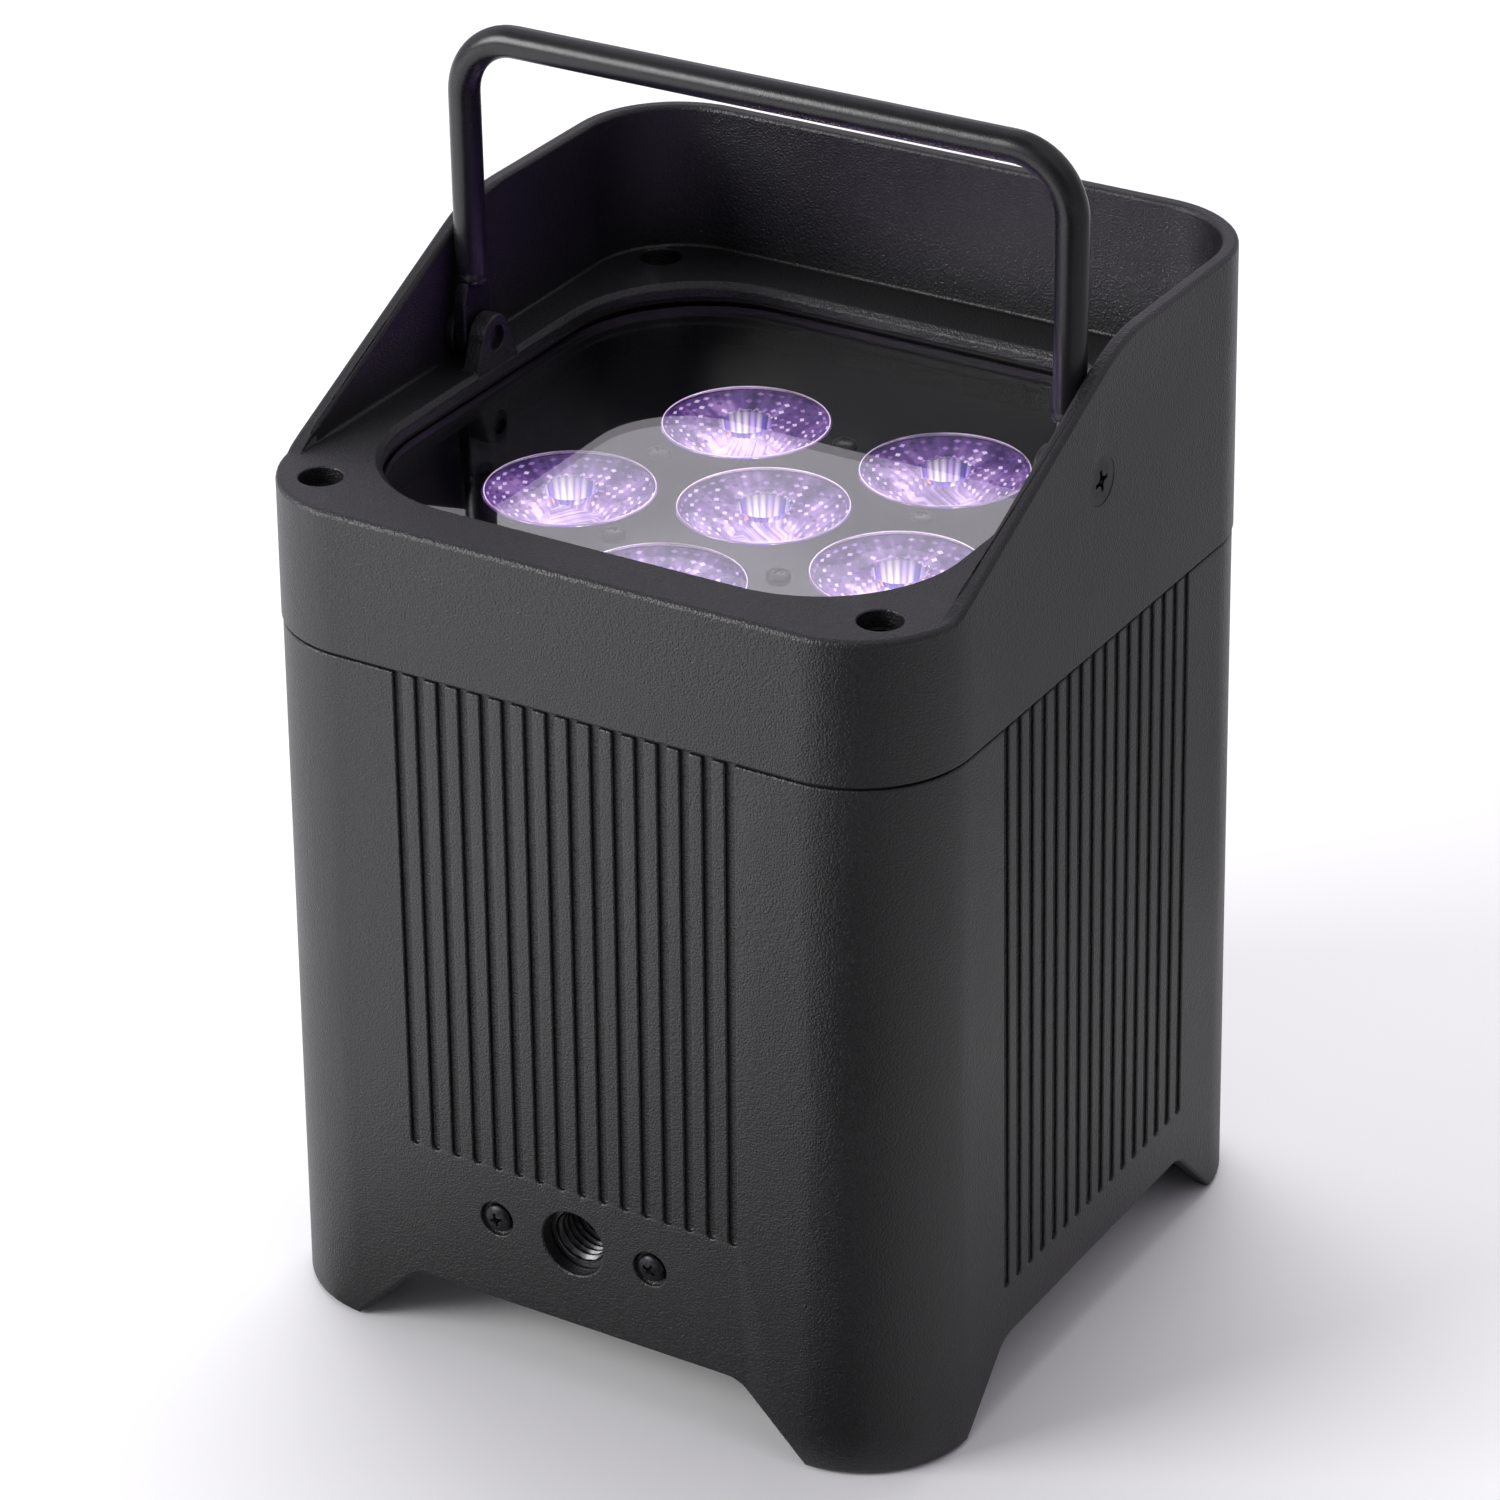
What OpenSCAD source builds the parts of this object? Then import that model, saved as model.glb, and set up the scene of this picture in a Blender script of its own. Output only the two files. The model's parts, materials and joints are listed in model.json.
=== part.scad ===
// Par can light: a square die-cast uplight with a sloped hood, six lenses and a folding handle.
// Millimetres. The front face is at -Y, the right side at +X, and the feet stand on z = 0.

/* [Casing] */
// Casing width at the seam between body and hood
seam_w = 150; // [120:1:200]
// Height of the seam between body and hood
seam_z = 152.5; // [120:0.5:190]
// Inward lean of every side, millimetre per millimetre of height
draft = 0.013; // [0:0.001:0.03]
// Radius of the four upright corners at the seam
corner_r = 23.4; // [12:0.1:32]
// Wall thickness of both castings
wall = 3; // [2:0.1:5]
// Open height of the seam, filled by the gasket
seam_gap = 0.6; // [0.3:0.1:1.5]
// How far the hood stands proud of the body
hood_proud = 0.3; // [0:0.1:1]

/* [Hood] */
// Height of the front lip
lip_z = 182.7; // [170:0.1:200]
// Height of the hood's flat top edge
hood_z = 214.3; // [195:0.1:240]
// Slope of the side walls' front edges
hood_slope = 0.49; // [0.3:0.01:0.8]
// Distance from the centre to the foot of the slope
slope_y = 55.8; // [40:0.1:65]
// Radius where the slope meets the flat top
slope_r = 39; // [10:1:60]
// Half width of the light opening
mouth_x = 61.7; // [45:0.1:64]
// Front edge of the light opening
mouth_front = 61.8; // [45:0.1:66]
// Rear edge of the light opening
mouth_rear = 57.8; // [45:0.1:64]
// Corner radius of the light opening
mouth_r = 29; // [8:0.5:34]
// Thickness of the lip around the opening
lip_t = 3.3; // [2.5:0.1:6]

/* [Body] */
// Grooves on each ribbed face
groove_n = 16; // [6:1:22]
// Distance between grooves
groove_pitch = 4.95; // [3.5:0.05:8]
// Groove width
groove_w = 1.9; // [1:0.1:3]
// Groove depth
groove_d = 1; // [0.5:0.1:1.6]
// Lower end of the front grooves
groove_front_z = 47.6; // [30:0.1:80]
// Lower end of the side grooves
groove_side_z = 28.5; // [20:0.1:80]
// Height of the arches between the feet
arch_z = 15.65; // [8:0.05:24]
// Half width of an arch at its top
arch_top = 38; // [25:0.5:50]
// Half width of an arch at the floor
arch_foot = 53.7; // [40:0.1:60]
// Radius of the arches' upper corners
arch_r = 7; // [2:0.5:10]

/* [Handle] */
// Height of the pivot screws
pivot_z = 188; // [184:0.1:196]
// Rod diameter
rod_d = 6.5; // [5:0.1:9]
// Distance from the centre to each leg
leg_x = 67.6; // [60:0.1:69]
// Height of the grip's centre line
grip_z = 252; // [235:0.5:252]
// Bend radius of the rod's centre line
bend_r = 12.5; // [8:0.5:20]
// Height of the rod's welded ends
weld_z = 200; // [198:0.5:206]

/* [Optics] */
// Lens diameter
lens_d = 34.7; // [25:0.1:35]
// Radius of the ring of lenses
ring_r = 39.5; // [38:0.1:42]
// Number of lenses in the ring
ring_n = 5; // [3:1:5]
// Height of the lens tops
lens_z = 163.5; // [158:0.1:168]
// Lens height
lens_h = 18.3; // [14:0.1:20]

/* [Rigging point] */
// Height of the threaded hole in the front face
rig_z = 34.9; // [30:0.1:40]
// Radius of the threaded bore
rig_r = 5.1; // [4:0.05:6]
// Distance from the threaded hole to each block screw
rig_screw_x = 18; // [14:0.5:24]

/* [Hidden] */
$fn = 48;
fit = 0.05;
half_c = seam_w / 2 - corner_r;
function half_w(z) = seam_w / 2 + draft * (seam_z - z);

foot_lift = 0.5;
body_top = seam_z - seam_gap / 2;
hood_base = seam_z + seam_gap / 2;
lip_under = lip_z - lip_t;

boss_x = 62;
boss_y = 62;
boss_r = 6.2;
screw_floor = lip_z - 8;
screw_well_r = 4.35;

gasket_t = 0.7;
glass_t = 3;
glass_top = lip_under - gasket_t;
retainer_z = glass_top - glass_t;
glass_over = 3.6;
mouth_edge = 1.2;
glass_r = 31;

ear_in = 62;
ear_out = 66;
ear_r = 4.8;
tab_in = 66.4;
tab_out = 69.1;
washer_in = 69.5;
washer_out = 71.4;
pin_r = 2.5;
pin_head = half_w(pivot_z) + hood_proud - 0.1;

plate_top = lens_z - 0.2;
plate_t = 1.5;
board_top = lens_z - lens_h - 2.6;
board_t = 1.6;
sink_top = board_top - board_t;
sink_t = 5;
sink_under = sink_top - sink_t;
sink_x = 60;
sink_y = 22;
fin_n = 13;
fin_pitch = 7.4;
fin_h = 36;
holder_r = lens_d / 2 + 1.25;
pillar_r = ring_r * cos(180 / ring_n);

cover_z = 17;
cover_t = 2.5;
cover_top = cover_z + cover_t;
pad_xy = 62.5;

panel_in = 72.9;
panel_out = 74.6;
panel_x = 54;
panel_lo = 28;
panel_hi = 141;
port_z = 58;
port_face = 76.2;
inlet_x = -30;
dmx_in_x = 6;
dmx_out_x = 36;
button_x = [-39, -25, -11, 3];
button_z = 95;
display_x = -18;
display_z = 118;
rocker_x = 33;
rocker_y = 71;
rocker_z = 104;
rocker_tilt = 8;

black = [0.10, 0.10, 0.11];
dark = [0.16, 0.16, 0.17];
steel = [0.62, 0.62, 0.64];
alu = [0.74, 0.75, 0.77];
clear = [0.85, 0.88, 0.95];
green = [0.10, 0.32, 0.18];
rubber = [0.07, 0.07, 0.07];
gold = [0.80, 0.66, 0.30];

// ---- shared shapes ----

// A leaning square prism with round corners, the outline of both castings.
module drafted(z0, z1, inset = 0) {
  w0 = half_w(z0) - inset;
  w1 = half_w(z1) - inset;
  for (a = [0, 90])
    rotate([0, 0, a])
      rotate([90, 0, 0])
        linear_extrude(2 * half_c, center = true)
          polygon([[-w0, z0], [w0, z0], [w1, z1], [-w1, z1]]);
  for (x = [-half_c, half_c], y = [-half_c, half_c])
    translate([x, y, z0])
      cylinder(h = z1 - z0, r1 = w0 - half_c, r2 = w1 - half_c);
}

module round_rect(x0, x1, y0, y1, r) {
  translate([x0 + r, y0]) square([x1 - x0 - 2 * r, y1 - y0]);
  translate([x0, y0 + r]) square([x1 - x0, y1 - y0 - 2 * r]);
  for (x = [x0 + r, x1 - r], y = [y0 + r, y1 - r])
    translate([x, y]) circle(r);
}

module at_corners(x, y) {
  for (i = [-1, 1], j = [-1, 1])
    translate([i * x, j * y, 0]) children();
}

// A plate drawn in X and Z, whose faces are at y0 and y1.
module rear_plate(y0, y1) {
  translate([0, y1, 0])
    rotate([90, 0, 0])
      linear_extrude(y1 - y0) children();
}

// A round bar along +Y from y0 to y1.
module bar_y(x, z, y0, y1, r) {
  translate([x, y0, z])
    rotate([-90, 0, 0])
      cylinder(h = y1 - y0, r = r);
}

// A round bar along +X from x0 to x1.
module bar_x(y, z, x0, x1, r) {
  translate([x0, y, z])
    rotate([0, 90, 0])
      cylinder(h = x1 - x0, r = r);
}

module box(x0, x1, y0, y1, z0, z1) {
  translate([x0, y0, z0]) cube([x1 - x0, y1 - y0, z1 - z0]);
}

// A cross recess, cut into a screw head whose face is at z = 0.
module cross_recess(w, d) {
  for (a = [0, 90])
    rotate([0, 0, a])
      translate([-w / 2, -w / 8, -d]) cube([w, w / 4, d + 1]);
}

// A pan-head screw that points down; z = 0 is under its head.
module pan_screw(d, len) {
  difference() {
    union() {
      cylinder(h = 0.6 * d, r = d);
      translate([0, 0, -len]) cylinder(h = len, r = d / 2);
    }
    translate([0, 0, 0.6 * d]) cross_recess(1.1 * d, 0.35 * d);
  }
}

// Positions of the lenses: the centre one, then the ring.
function ring_xy(i) = [ring_r * cos(-90 + i * 360 / ring_n), ring_r * sin(-90 + i * 360 / ring_n), 0];

module at_lenses() {
  children();
  for (i = [0 : ring_n - 1])
    translate(ring_xy(i)) children();
}

// ---- castings ----

module grooves(z0) {
  for (i = [0 : groove_n - 1])
    translate([(i - (groove_n - 1) / 2) * groove_pitch, 0, 0]) {
      rotate([90, 0, 90])
        linear_extrude(groove_w, center = true)
          polygon([[-half_w(z0) + groove_d, z0], [-half_w(z0) - 3, z0],
            [-half_w(body_top) - 3, body_top + 2],
            [-half_w(body_top + 2) + groove_d, body_top + 2]]);
      bar_y(0, z0, -half_w(z0) - 3, -half_w(z0) + groove_d, groove_w / 2);
    }
}

// The opening between two feet, cut through both opposite walls.
module arch() {
  lean = atan(arch_z / (arch_foot - arch_top));
  run = arch_r * tan(lean / 2);
  toe = arch_foot + 4 / tan(lean);
  rotate([90, 0, 0])
    linear_extrude(200, center = true) {
      polygon([[-toe, -4], [-arch_top - run * cos(lean), arch_z - run * sin(lean)],
        [-arch_top + run, arch_z], [arch_top - run, arch_z],
        [arch_top + run * cos(lean), arch_z - run * sin(lean)], [toe, -4]]);
      for (s = [-1, 1])
        translate([s * (arch_top - run), arch_z - arch_r]) circle(arch_r);
    }
}

module housing_body() {
  color(black) difference() {
    union() {
      difference() {
        drafted(foot_lift, body_top);
        drafted(foot_lift - 1, body_top + 1, wall);
      }
      at_corners(boss_x, boss_y)
        translate([0, 0, 110]) cylinder(h = body_top - 110, r = boss_r);
      // shelves that carry the rubber pads
      intersection() {
        drafted(2.5, 6, 1);
        at_corners(pad_xy, pad_xy)
          translate([0, 0, 2.5]) cylinder(h = 3.5, r = 10);
      }
      // pads that carry the heat sink
      for (s = [-1, 1], y = [-sink_y, sink_y])
        box(s > 0 ? 53 : -73, s > 0 ? 73 : -53, y - 6, y + 6, sink_under - 8, sink_under);
      // bosses for the bottom cover
      for (a = [0 : 90 : 270])
        rotate([0, 0, a]) {
          translate([66, 0, cover_top]) cylinder(h = 6.5, r = 4.5);
          box(66, 74.5, -4.5, 4.5, cover_top, cover_top + 6.5);
        }
      // frame behind the control panel
      rear_plate(69.5, panel_in)
        translate([-58, panel_lo - 2]) square([116, panel_hi - panel_lo + 4]);
    }
    grooves(groove_front_z);
    for (a = [-90, 90])
      rotate([0, 0, a]) grooves(groove_side_z);
    for (a = [0, 90])
      rotate([0, 0, a]) arch();
    at_corners(boss_x, boss_y)
      translate([0, 0, 130]) cylinder(h = 30, r = 2.5 + fit);
    at_corners(sink_x, sink_y)
      translate([0, 0, sink_under - 7]) cylinder(h = 10, r = 1.75 + fit);
    for (a = [0 : 90 : 270])
      rotate([0, 0, a])
        translate([66, 0, cover_top - 1]) cylinder(h = 6.5, r = 1.5 + fit);
    at_corners(pad_xy, pad_xy)
      translate([0, 0, 2]) cylinder(h = 5, r = 2.5 + fit);
    // rigging hole and its screws
    bar_y(0, rig_z, -80, -70, 7.1);
    for (s = [-1, 1]) {
      bar_y(s * rig_screw_x, rig_z, -80, -half_w(rig_z) + 1.3, 3.75);
      bar_y(s * rig_screw_x, rig_z, -80, -70, 1.5 + fit);
    }
    // recess and window for the control panel
    rear_plate(panel_in, 80)
      round_rect(-panel_x - 0.3, panel_x + 0.3, panel_lo - 0.3, panel_hi + 0.3, 4.3);
    rear_plate(60, 80)
      round_rect(-49, 49, panel_lo + 8, panel_hi - 6, 3);
    for (x = [-51.5, 51.5], z = [32, 84.5, 137])
      bar_y(x, z, 69, 75, 1.5 + fit);
  }
}

// Everything under the side walls' sloped edge, in Y and Z.
module hood_profile() {
  lean = atan(hood_slope);
  run = slope_r * tan(lean / 2);
  peak_y = -slope_y + (hood_z - lip_z) / hood_slope;
  polygon([[-90, 100], [-90, lip_z], [-slope_y, lip_z],
    [peak_y - run * cos(lean), hood_z - run * sin(lean)], [peak_y + run, hood_z],
    [90, hood_z], [90, 100]]);
  translate([peak_y + run, hood_z - slope_r]) circle(slope_r);
}

module mouth(grow = 0, r = mouth_r) {
  round_rect(-mouth_x - grow, mouth_x + grow, -mouth_front - grow, mouth_rear + grow, r);
}

// The chamfer round the top of the mouth.
module mouth_chamfer() {
  z0 = lip_z - mouth_edge;
  z1 = lip_z + 1;
  out = mouth_edge + 1;
  y0 = -mouth_front + mouth_r;
  y1 = mouth_rear - mouth_r;
  x1 = mouth_x - mouth_r;
  translate([0, y1, 0])
    rotate([90, 0, 0])
      linear_extrude(y1 - y0)
        polygon([[-mouth_x, z0], [mouth_x, z0], [mouth_x + out, z1], [-mouth_x - out, z1]]);
  rotate([90, 0, 90])
    linear_extrude(2 * x1, center = true)
      polygon([[-mouth_front, z0], [mouth_rear, z0], [mouth_rear + out, z1], [-mouth_front - out, z1]]);
  for (x = [-x1, x1], y = [y0, y1])
    translate([x, y, z0]) cylinder(h = z1 - z0, r1 = mouth_r, r2 = mouth_r + out);
}

module ear() {
  rotate([90, 0, 90])
    linear_extrude(ear_out - ear_in) {
      polygon([[-7, lip_z - 1], [7, lip_z - 1], [7, lip_z + 0.5], [ear_r, pivot_z], [-ear_r, pivot_z],
        [-7, lip_z + 0.5]]);
      translate([0, pivot_z]) circle(ear_r);
    }
}

module top_hood() {
  color(black) difference() {
    union() {
      intersection() {
        difference() {
          drafted(hood_base, hood_z, -hood_proud);
          drafted(hood_base - 1, lip_under, wall);
          drafted(lip_z, hood_z + 1, wall);
          linear_extrude(300) mouth();
          mouth_chamfer();
        }
        rotate([90, 0, 90])
          linear_extrude(200, center = true) hood_profile();
      }
      at_corners(boss_x, boss_y)
        translate([0, 0, hood_base]) cylinder(h = lip_under - hood_base + 1, r = boss_r);
      // blocks for the screws of the glass retainer
      for (s = [-1, 1], y = [-30, 30])
        box(s > 0 ? 66.4 : -72, s > 0 ? 72 : -66.4, y - 4, y + 4, retainer_z, lip_under + 0.5);
      translate([ear_in, 0, 0]) ear();
      translate([-ear_out, 0, 0]) ear();
    }
    at_corners(boss_x, boss_y) {
      translate([0, 0, screw_floor]) cylinder(h = 20, r = screw_well_r);
      translate([0, 0, hood_base - 1]) cylinder(h = 40, r = 2.5 + fit);
    }
    for (s = [-1, 1], y = [-30, 30])
      translate([s * 69, y, retainer_z - 1]) cylinder(h = 5, r = 1.25 + fit);
    bar_x(0, pivot_z, -90, 90, pin_r + fit);
    for (s = [0, 180])
      rotate([0, 0, s])
        translate([pin_head + fit, 0, pivot_z])
          rotate([0, -90, 0]) {
            cylinder(h = 2.55, r1 = 5.05, r2 = 2.5);
            translate([0, 0, -2]) cylinder(h = 2, r = 5.05);
          }
  }
}

module seam_gasket() {
  color(rubber) difference() {
    drafted(body_top, hood_base, 0.7);
    drafted(body_top - 1, hood_base + 1, wall);
  }
}

// ---- glass ----

module mouth_gasket() {
  color(rubber)
    translate([0, 0, glass_top])
      linear_extrude(gasket_t)
        difference() {
          mouth(glass_over - 0.2, glass_r);
          mouth(0.3, mouth_r + 0.3);
        }
}

module front_glass() {
  color(clear, 0.4)
    translate([0, 0, retainer_z])
      linear_extrude(glass_t) mouth(glass_over, glass_r);
}

module glass_retainer() {
  color(dark)
    translate([0, 0, retainer_z - 1.6])
      linear_extrude(1.6)
        difference() {
          union() {
            mouth(glass_over, glass_r);
            for (s = [-1, 1], y = [-30, 30])
              translate([s * 68 - 3.2, y - 4]) square([6.4, 8]);
          }
          mouth(0.8, mouth_r + 4);
          for (s = [-1, 1], y = [-30, 30])
            translate([s * 69, y]) circle(1.25 + fit);
        }
}

module retainer_screws() {
  color(steel)
    for (s = [-1, 1], y = [-30, 30])
      translate([s * 69, y, retainer_z - 1.6])
        rotate([180, 0, 0]) pan_screw(2.2, 4.5);
}

module hood_screws() {
  color(dark)
    at_corners(boss_x, boss_y)
      translate([0, 0, screw_floor])
        difference() {
          union() {
            cylinder(h = 5, r = screw_well_r - 0.45);
            translate([0, 0, -40]) cylinder(h = 40, r = 2.5);
          }
          translate([0, 0, 2.4]) cylinder(h = 3, r = 2.31, $fn = 6);
        }
}

// ---- optics ----

module lens_plate() {
  color(black)
    translate([0, 0, plate_top - plate_t])
      linear_extrude(plate_t)
        difference() {
          round_rect(-66, 66, -66, 66, glass_r);
          at_lenses() circle(lens_d / 2 + 0.15);
          at_pillars() circle(1.25 + fit);
        }
}

module at_pillars() {
  for (i = [0 : ring_n - 1])
    rotate([0, 0, -90 + (i + 0.5) * 360 / ring_n])
      translate([pillar_r, 0, 0]) children();
}

module lens_plate_screws() {
  color(dark)
    at_pillars()
      translate([0, 0, plate_top]) pan_screw(2.5, 8);
}

module plate_pillars() {
  color(alu)
    at_pillars()
      translate([0, 0, board_top])
        difference() {
          cylinder(h = plate_top - plate_t - board_top, r = 2.8);
          translate([0, 0, 6]) cylinder(h = 30, r = 1.25 + fit);
        }
}

module lens(at) {
  r = lens_d / 2;
  color(clear, 0.5)
    translate(at)
      translate([0, 0, lens_z - lens_h])
        rotate_extrude()
          polygon([[4.6, 0], [7.4, 0], [r - 0.95, lens_h - 2.5], [r, lens_h - 2.5], [r, lens_h],
            [0, lens_h], [0, 9.5], [3.7, 9.5]]);
}

module lens_holders() {
  r = lens_d / 2;
  color(dark)
    at_lenses()
      rotate_extrude()
        polygon([[r - 0.5, board_top], [holder_r, board_top], [holder_r, plate_top - plate_t],
          [r + 0.1, plate_top - plate_t], [r + 0.1, lens_z - 2.6], [r - 0.5, lens_z - 2.6]]);
}

module led_emitters() {
  color(gold)
    at_lenses()
      translate([0, 0, board_top]) {
        translate([-3.5, -3.5, 0]) cube([7, 7, 1]);
        translate([0, 0, 1]) cylinder(h = 0.8, r = 3);
        intersection() {
          translate([0, 0, 1]) sphere(r = 2.9);
          translate([-4, -4, 1]) cube([8, 8, 4]);
        }
      }
}

module led_board() {
  color(alu)
    translate([0, 0, sink_top])
      linear_extrude(board_t) circle(60);
}

module heat_sink() {
  color(alu) difference() {
    union() {
      translate([0, 0, sink_under])
        linear_extrude(sink_t) round_rect(-64, 64, -54, 54, 4);
      for (i = [0 : fin_n - 1])
        translate([(i - (fin_n - 1) / 2) * fin_pitch - 1, -50, sink_under - fin_h])
          cube([2, 100, fin_h + 1]);
    }
    at_corners(sink_x, sink_y)
      translate([0, 0, sink_under - 1]) cylinder(h = 10, r = 1.75 + fit);
  }
}

module sink_screws() {
  color(steel)
    at_corners(sink_x, sink_y)
      translate([0, 0, sink_top]) pan_screw(3.5, 11);
}

// ---- handle ----

module handle_bar() {
  r = rod_d / 2;
  bend_x = leg_x - bend_r;
  color(black) {
    for (s = [-1, 1])
      translate([s * leg_x, 0, weld_z]) cylinder(h = grip_z - bend_r - weld_z, r = r);
    bar_x(0, grip_z, -bend_x, bend_x, r);
    for (s = [-1, 1])
      translate([s * bend_x, 0, grip_z - bend_r])
        rotate([90, 0, 0])
          rotate([0, 0, s > 0 ? 0 : 90])
            rotate_extrude(angle = 90)
              translate([bend_r, 0]) circle(r);
  }
}

module handle_tab(s) {
  color(black)
    translate([s > 0 ? tab_in : -tab_out, 0, 0])
      rotate([90, 0, 90])
        linear_extrude(tab_out - tab_in)
          difference() {
            union() {
              translate([0, pivot_z]) circle(4.8);
              polygon([[-4.8, pivot_z], [4.8, pivot_z], [4.8, weld_z - 4], [3.2, weld_z],
                [-3.2, weld_z], [-4.8, weld_z - 4]]);
            }
            translate([0, pivot_z]) circle(pin_r + fit);
          }
}

module pivot_washers() {
  color(steel) difference() {
    for (s = [-1, 1])
      bar_x(0, pivot_z, s > 0 ? washer_in : -washer_out, s > 0 ? washer_out : -washer_in, 5);
    bar_x(0, pivot_z, -90, 90, pin_r + fit);
  }
}

module pivot_screws() {
  color(steel)
    for (a = [0, 180])
      rotate([0, 0, a])
        translate([pin_head, 0, pivot_z])
          rotate([0, -90, 0])
            difference() {
              union() {
                cylinder(h = 2.5, r1 = 5, r2 = 2.5);
                cylinder(h = pin_head - ear_in - 0.6, r = pin_r);
              }
              rotate([180, 0, 0]) cross_recess(5, 1.6);
            }
}

// ---- rigging point ----

module rigging_block() {
  y_front = -half_w(rig_z) + wall + 0.2;
  color(steel) difference() {
    box(-24, 24, y_front, -60, rig_z - 8, rig_z + 8);
    bar_y(0, rig_z, -80, -50, rig_r);
    for (s = [-1, 1])
      bar_y(s * rig_screw_x, rig_z, -80, -64, 1.5 + fit);
  }
}

module rigging_screws() {
  color(dark)
    for (s = [-1, 1])
      translate([s * rig_screw_x, -half_w(rig_z) + 1.3, rig_z])
        rotate([90, 0, 0]) pan_screw(3, 10);
}

// ---- inside ----

module battery_pack() {
  color([0.10, 0.22, 0.48])
    translate([0, 0, cover_top + 0.1])
      linear_extrude(66) round_rect(-44, 44, -42, 34, 6);
}

module battery_strap() {
  top = cover_top + 66.2;
  color(steel)
    for (y = [-26, 10]) {
      box(-46, 46, y, y + 9, top, top + 1.2);
      for (s = [-1, 1]) {
        box(s > 0 ? 44.8 : -46, s > 0 ? 46 : -44.8, y, y + 9, cover_top, top + 0.5);
        box(s > 0 ? 44.8 : -54, s > 0 ? 54 : -44.8, y, y + 9, cover_top, cover_top + 1.2);
      }
    }
}

module driver_board() {
  color(green) box(-66, -64.4, -46, 46, 32, 118);
}

module driver_parts() {
  color(dark) {
    box(-64.4, -50, -30, -4, 40, 66);
    for (y = [12, 26])
      bar_x(y, 50, -64.4, -48, 6);
    box(-64.4, -56, -34, 34, 92, 110);
    box(-64.4, -60, 6, 34, 66, 84);
  }
}

module radio_board() {
  color(green) {
    box(64.4, 66, -22, 22, 60, 104);
    box(60.9, 64.4, -14, 8, 68, 92);
    bar_y(62.6, 98, -20, 20, 1.6);
  }
}

module board_standoffs() {
  color(gold) {
    for (y = [-40, 40], z = [38, 112])
      bar_x(y, z, -half_w(z) + wall + 0.1, -66, 2.6);
    for (y = [-18, 18], z = [64, 98])
      bar_x(y, z, 66, half_w(z) - wall - 0.1, 2.6);
  }
}

// A cable along straight runs between points, with round corners.
module cable(pts, r) {
  for (i = [1 : len(pts) - 1]) {
    d = pts[i] - pts[i - 1];
    translate(pts[i - 1])
      rotate([0, acos(d[2] / norm(d)), atan2(d[1], d[0])])
        cylinder(h = norm(d), r = r, $fn = 24);
  }
  for (i = [1 : len(pts) - 2])
    translate(pts[i]) sphere(r = r, $fn = 24);
}

module wiring() {
  color([0.45, 0.08, 0.07]) {
    cable([[-60, 0, 111.5], [-60, 0, 124], [-68.5, 0, 124], [-68.5, 0, 145], [-62.5, 0, 145]], 1.6);
    cable([[44.2, -10, 50], [52, -10, 50], [52, -10, 92], [52, 40, 92]], 2);
    cable([[-30, 51.8, 58], [-30, 44, 58], [-54, 44, 58], [-54, 44, 76], [-57.6, 24, 76]], 2.2);
  }
}

// ---- base ----

module bottom_cover() {
  w = half_w(cover_z) - wall - 0.5;
  color(dark)
    translate([0, 0, cover_z])
      linear_extrude(cover_t)
        difference() {
          round_rect(-w, w, -w, w, w - half_c);
          for (a = [0 : 90 : 270])
            rotate(a) translate([66, 0]) circle(1.5 + fit);
        }
}

module cover_screws() {
  color(steel)
    for (a = [0 : 90 : 270])
      rotate([0, 0, a])
        translate([66, 0, cover_z])
          rotate([180, 0, 0]) pan_screw(2.9, 7);
}

module foot_pads() {
  color(rubber)
    at_corners(pad_xy, pad_xy) {
      cylinder(h = 2.5, r = 6.7);
      cylinder(h = 6, r = 2.5);
      translate([0, 0, 6]) cylinder(h = 1.2, r = 3.4);
    }
}

// ---- control panel ----

module control_panel() {
  color(black)
    rear_plate(panel_in, panel_out)
      difference() {
        round_rect(-panel_x, panel_x, panel_lo, panel_hi, 4);
        translate([display_x - 22.1, display_z - 11.1]) square([44.2, 22.2]);
        for (x = button_x)
          translate([x, button_z]) circle(4.35);
        translate([rocker_x, 128]) circle(3.1);
        translate([rocker_x - 9.6, rocker_z - 6.6]) square([19.2, 13.2]);
        translate([inlet_x - 13.6, port_z - 10.1]) square([27.2, 20.2]);
        for (x = [dmx_in_x, dmx_out_x])
          translate([x, port_z]) circle(11.6);
        translate([dmx_out_x - 3.4, port_z + 8]) square([6.8, 5.1]);
        for (x = [-51.5, 51.5], z = [32, 84.5, 137])
          translate([x, z]) circle(1.5 + fit);
        for (x = [dmx_in_x, dmx_out_x], s = [-1, 1])
          translate([x + s * 9.5, port_z + s * 12]) circle(1.5 + fit);
      }
}

module panel_screws() {
  color(dark)
    for (x = [-51.5, 51.5], z = [32, 84.5, 137])
      translate([x, panel_out, z])
        rotate([-90, 0, 0]) pan_screw(2.6, 5);
}

module display_window() {
  color([0.05, 0.06, 0.09])
    rear_plate(panel_in, panel_out + 0.3)
      translate([display_x - 22, display_z - 11]) square([44, 22]);
}

module control_board() {
  color(green) {
    box(-49, 14, 64.4, 66, 87, 133);
    box(display_x - 22, display_x + 22, 66, 72.7, display_z - 12, display_z + 12);
    for (x = button_x)
      box(x - 3, x + 3, 66, 69, button_z - 3, button_z + 3);
    bar_y(rocker_x, 128, 66, 70, 2.5);
    box(13, 38, 64.4, 66, 122, 133);
  }
}

module button_cap(i) {
  color(dark) {
    bar_y(button_x[i], button_z, 70.3, 76, 4);
    bar_y(button_x[i], button_z, 71.2, 72.4, 5);
  }
}

module ir_window() {
  color([0.12, 0.03, 0.05])
    bar_y(rocker_x, 128, 71, panel_out + 0.2, 3);
}

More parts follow.
